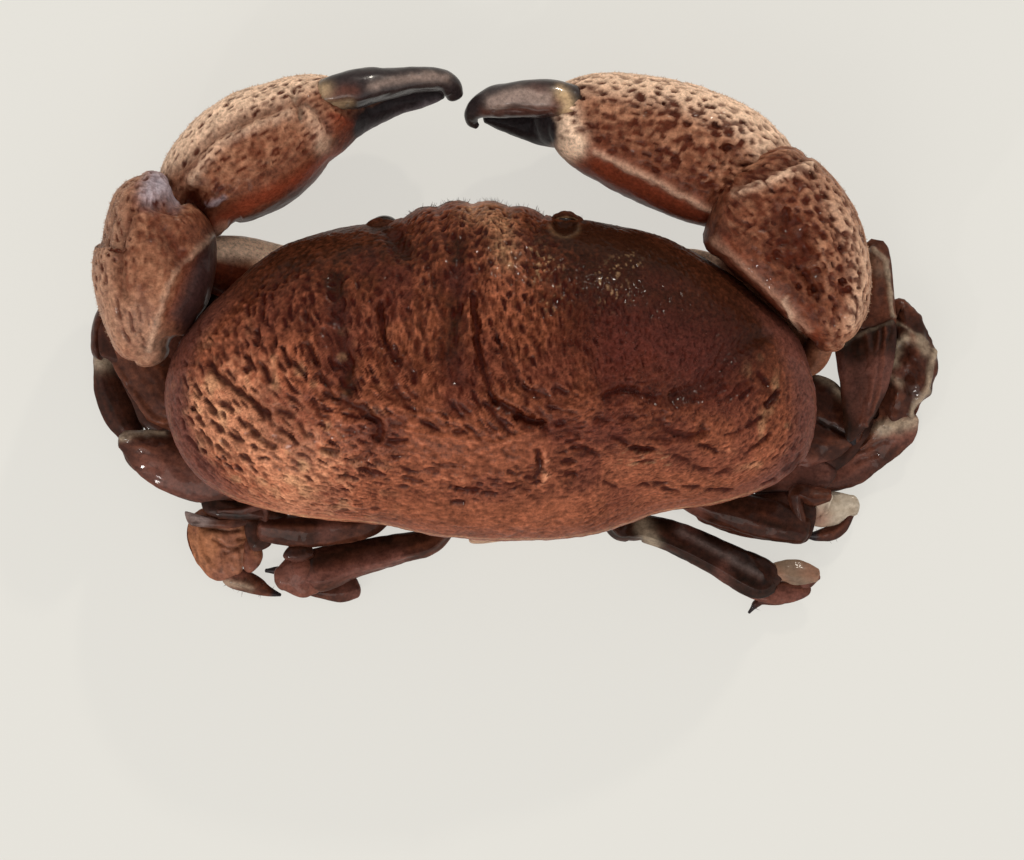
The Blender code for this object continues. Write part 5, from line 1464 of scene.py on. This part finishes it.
def dress_eyes(finish):
    x, y, z = EYES["eye_right"]
    rim = socket_ring((x + 0.2, y - 0.55, z + 1.3), (2.25, 1.65), 0.42, 301)
    rim.masks["tone"] -= 0.34
    make_piece("orbit_rim_right", rim, finish["shell"])
    front = smooth_step(-0.6, 0.6, rim.normals()[:, 1]) * smooth_step(-0.2, 0.4, rim.normals()[:, 2])
    grow_bristles("orbit_bristles", rim, front, 9.0, 1.1, finish["bristle"], 81)
    lid = limb_skin(LEFT_LID, 0.16, 1.0)
    lid.masks["tone"] -= 0.36
    lid.add_features([("red", (3, -0.25, 0.5, (368, 219), (380, 216), (392, 216)))])
    lid.roughen(1.4, 0.08, 303)
    make_piece("orbit_lid_left", lid, finish["shell"])
    for name, (x, y, z) in EYES.items():
        ends = [(x, y + step, z, EYE_RADIUS, EYE_RADIUS) for step in (-0.3, 0.3)]
        make_piece(name + "_skin", limb_skin(ends, 0.12, 1.0), finish["eye"], [name])


# The floor, in metres
FLOOR_HALF_SIZE = 2.0
FLOOR_COLOUR = (0.14, 0.14, 0.13, 1.0)
FLOOR_GLOW = (1.0, 0.972, 0.905, 1.0)
FLOOR_GLOW_STRENGTH = 0.63


def make_stage():
    """A pale floor with a glow of its own, which keeps it even and its shadows soft."""
    half = FLOOR_HALF_SIZE
    mesh = bpy.data.meshes.new("floor")
    mesh.from_pydata([(-half, -half, 0), (half, -half, 0), (half, half, 0), (-half, half, 0)], [],
                     [(0, 1, 2, 3)])
    material = bpy.data.materials.new("pale_board")
    material.use_nodes = True
    inputs = material.node_tree.nodes["Principled BSDF"].inputs
    inputs["Base Color"].default_value = FLOOR_COLOUR
    inputs["Specular IOR Level"].default_value = 0.0
    inputs["Emission Color"].default_value = FLOOR_GLOW
    inputs["Emission Strength"].default_value = FLOOR_GLOW_STRENGTH
    mesh.materials.append(material)
    add_object("floor", mesh)


def make_camera():
    data = bpy.data.cameras.new("camera")
    data.sensor_width = SENSOR_WIDTH
    data.lens = CAMERA_HEIGHT / plan_scale(0.0) * SENSOR_WIDTH / FRAME_WIDTH
    data.clip_start = 0.01
    camera = add_object("camera", data)
    camera.location = ((LOOKED_AT[0] + CAD_SHIFT[0]) * MM, (LOOKED_AT[1] + CAD_SHIFT[1]) * MM,
                       CAMERA_HEIGHT * MM)
    bpy.context.scene.camera = camera


# Square lights, in metres and watts, and a sky that is brighter to the rear and darker overhead
LIGHTS = [
    dict(name="key", place=(-0.65, -2.00, 2.00), size=1.30, power=16.5, colour=(1.0, 0.96, 0.90)),
    dict(name="glint_rear", place=(-0.45, -0.55, 0.50), size=0.03, power=1.2, colour=(1.0, 0.96, 0.92)),
    dict(name="glint_front", place=(0.22, 0.62, 0.42), size=0.03, power=2.3, colour=(1.0, 0.93, 0.82)),
]
SKY_COLOUR = (1.0, 0.985, 0.965, 1.0)
SKY_LEVEL = 0.90
SKY_SLOPE = 0.40
ZENITH = {"From Min": 0.80, "From Max": 0.97, "To Min": 1.0, "To Max": 0.30}


def make_lights():
    for light in LIGHTS:
        data = bpy.data.lights.new(light["name"], "AREA")
        data.shape = "SQUARE"
        data.size = light["size"]
        data.energy = light["power"]
        data.color = light["colour"]
        item = add_object(light["name"], data)
        item.location = light["place"]
        item.rotation_euler = Vector(light["place"]).to_track_quat("Z", "Y").to_euler()
    world = bpy.data.worlds.new("studio")
    world.use_nodes = True
    tree = world.node_tree
    place = new_node(tree, "ShaderNodeTexCoord").outputs["Generated"]
    direction = new_node(tree, "ShaderNodeSeparateXYZ", {0: place}).outputs
    rear = calculate(tree, "MULTIPLY_ADD", direction["Y"], -SKY_SLOPE, SKY_LEVEL)
    zenith = new_node(tree, "ShaderNodeMapRange", {**ZENITH, "Value": direction["Z"]},
                      interpolation_type="SMOOTHSTEP")
    background = tree.nodes["Background"]
    background.inputs["Color"].default_value = SKY_COLOUR
    feed(tree, calculate(tree, "MULTIPLY", rear, zenith.outputs[0]), background.inputs["Strength"])
    bpy.context.scene.world = world
    bpy.context.scene.view_settings.view_transform = "Standard"


# Patches of short down on the shell, as half width and path, and where the front bristles stand
SHELL_DOWN = [(24, (585, 340), (640, 368), (700, 372)), (18, (560, 420), (640, 410), (735, 420))]
FRONT_BRISTLES = ((400, 412), (552, 540))


def dress_shell(finish):
    shell = shell_top()
    make_piece("shell_top", shell, finish["shell"], ["carapace"])
    spots = plan_of(shell.points)
    edge = smooth_step(-0.15, 0.35, shell.normals()[:, 1]) * smooth_step(20.5, 19.0, shell.points[:, 2])
    left, right = FRONT_BRISTLES
    lobes = smooth_step(*left, spots[:, 0]) * smooth_step(*right, spots[:, 0])
    grow_bristles("front_bristles", shell, edge * lobes, 2.2, 0.65, finish["bristle"], 91)
    fuzzy = sum(np.exp(-(path_distance(spots, path) / half_width) ** 2) for half_width, *path in SHELL_DOWN)
    grow_bristles("shell_down", shell, np.clip(fuzzy, 0, 1), 2.0, 0.34, finish["fuzz"], 93)
    make_piece("shell_underside", shell_underside(), finish["shell"])


def build():
    make_camera()
    make_lights()
    make_stage()
    grain = make_grain_group()
    finish = {name: make_finish(name, grain) for name in FINISHES}
    make_bristle_tree()
    dress_shell(finish)
    dress_eyes(finish)
    dress_claws(finish)
    dress_legs(finish)
    dress_underside(finish)


build()
bpy.context.view_layer.update()
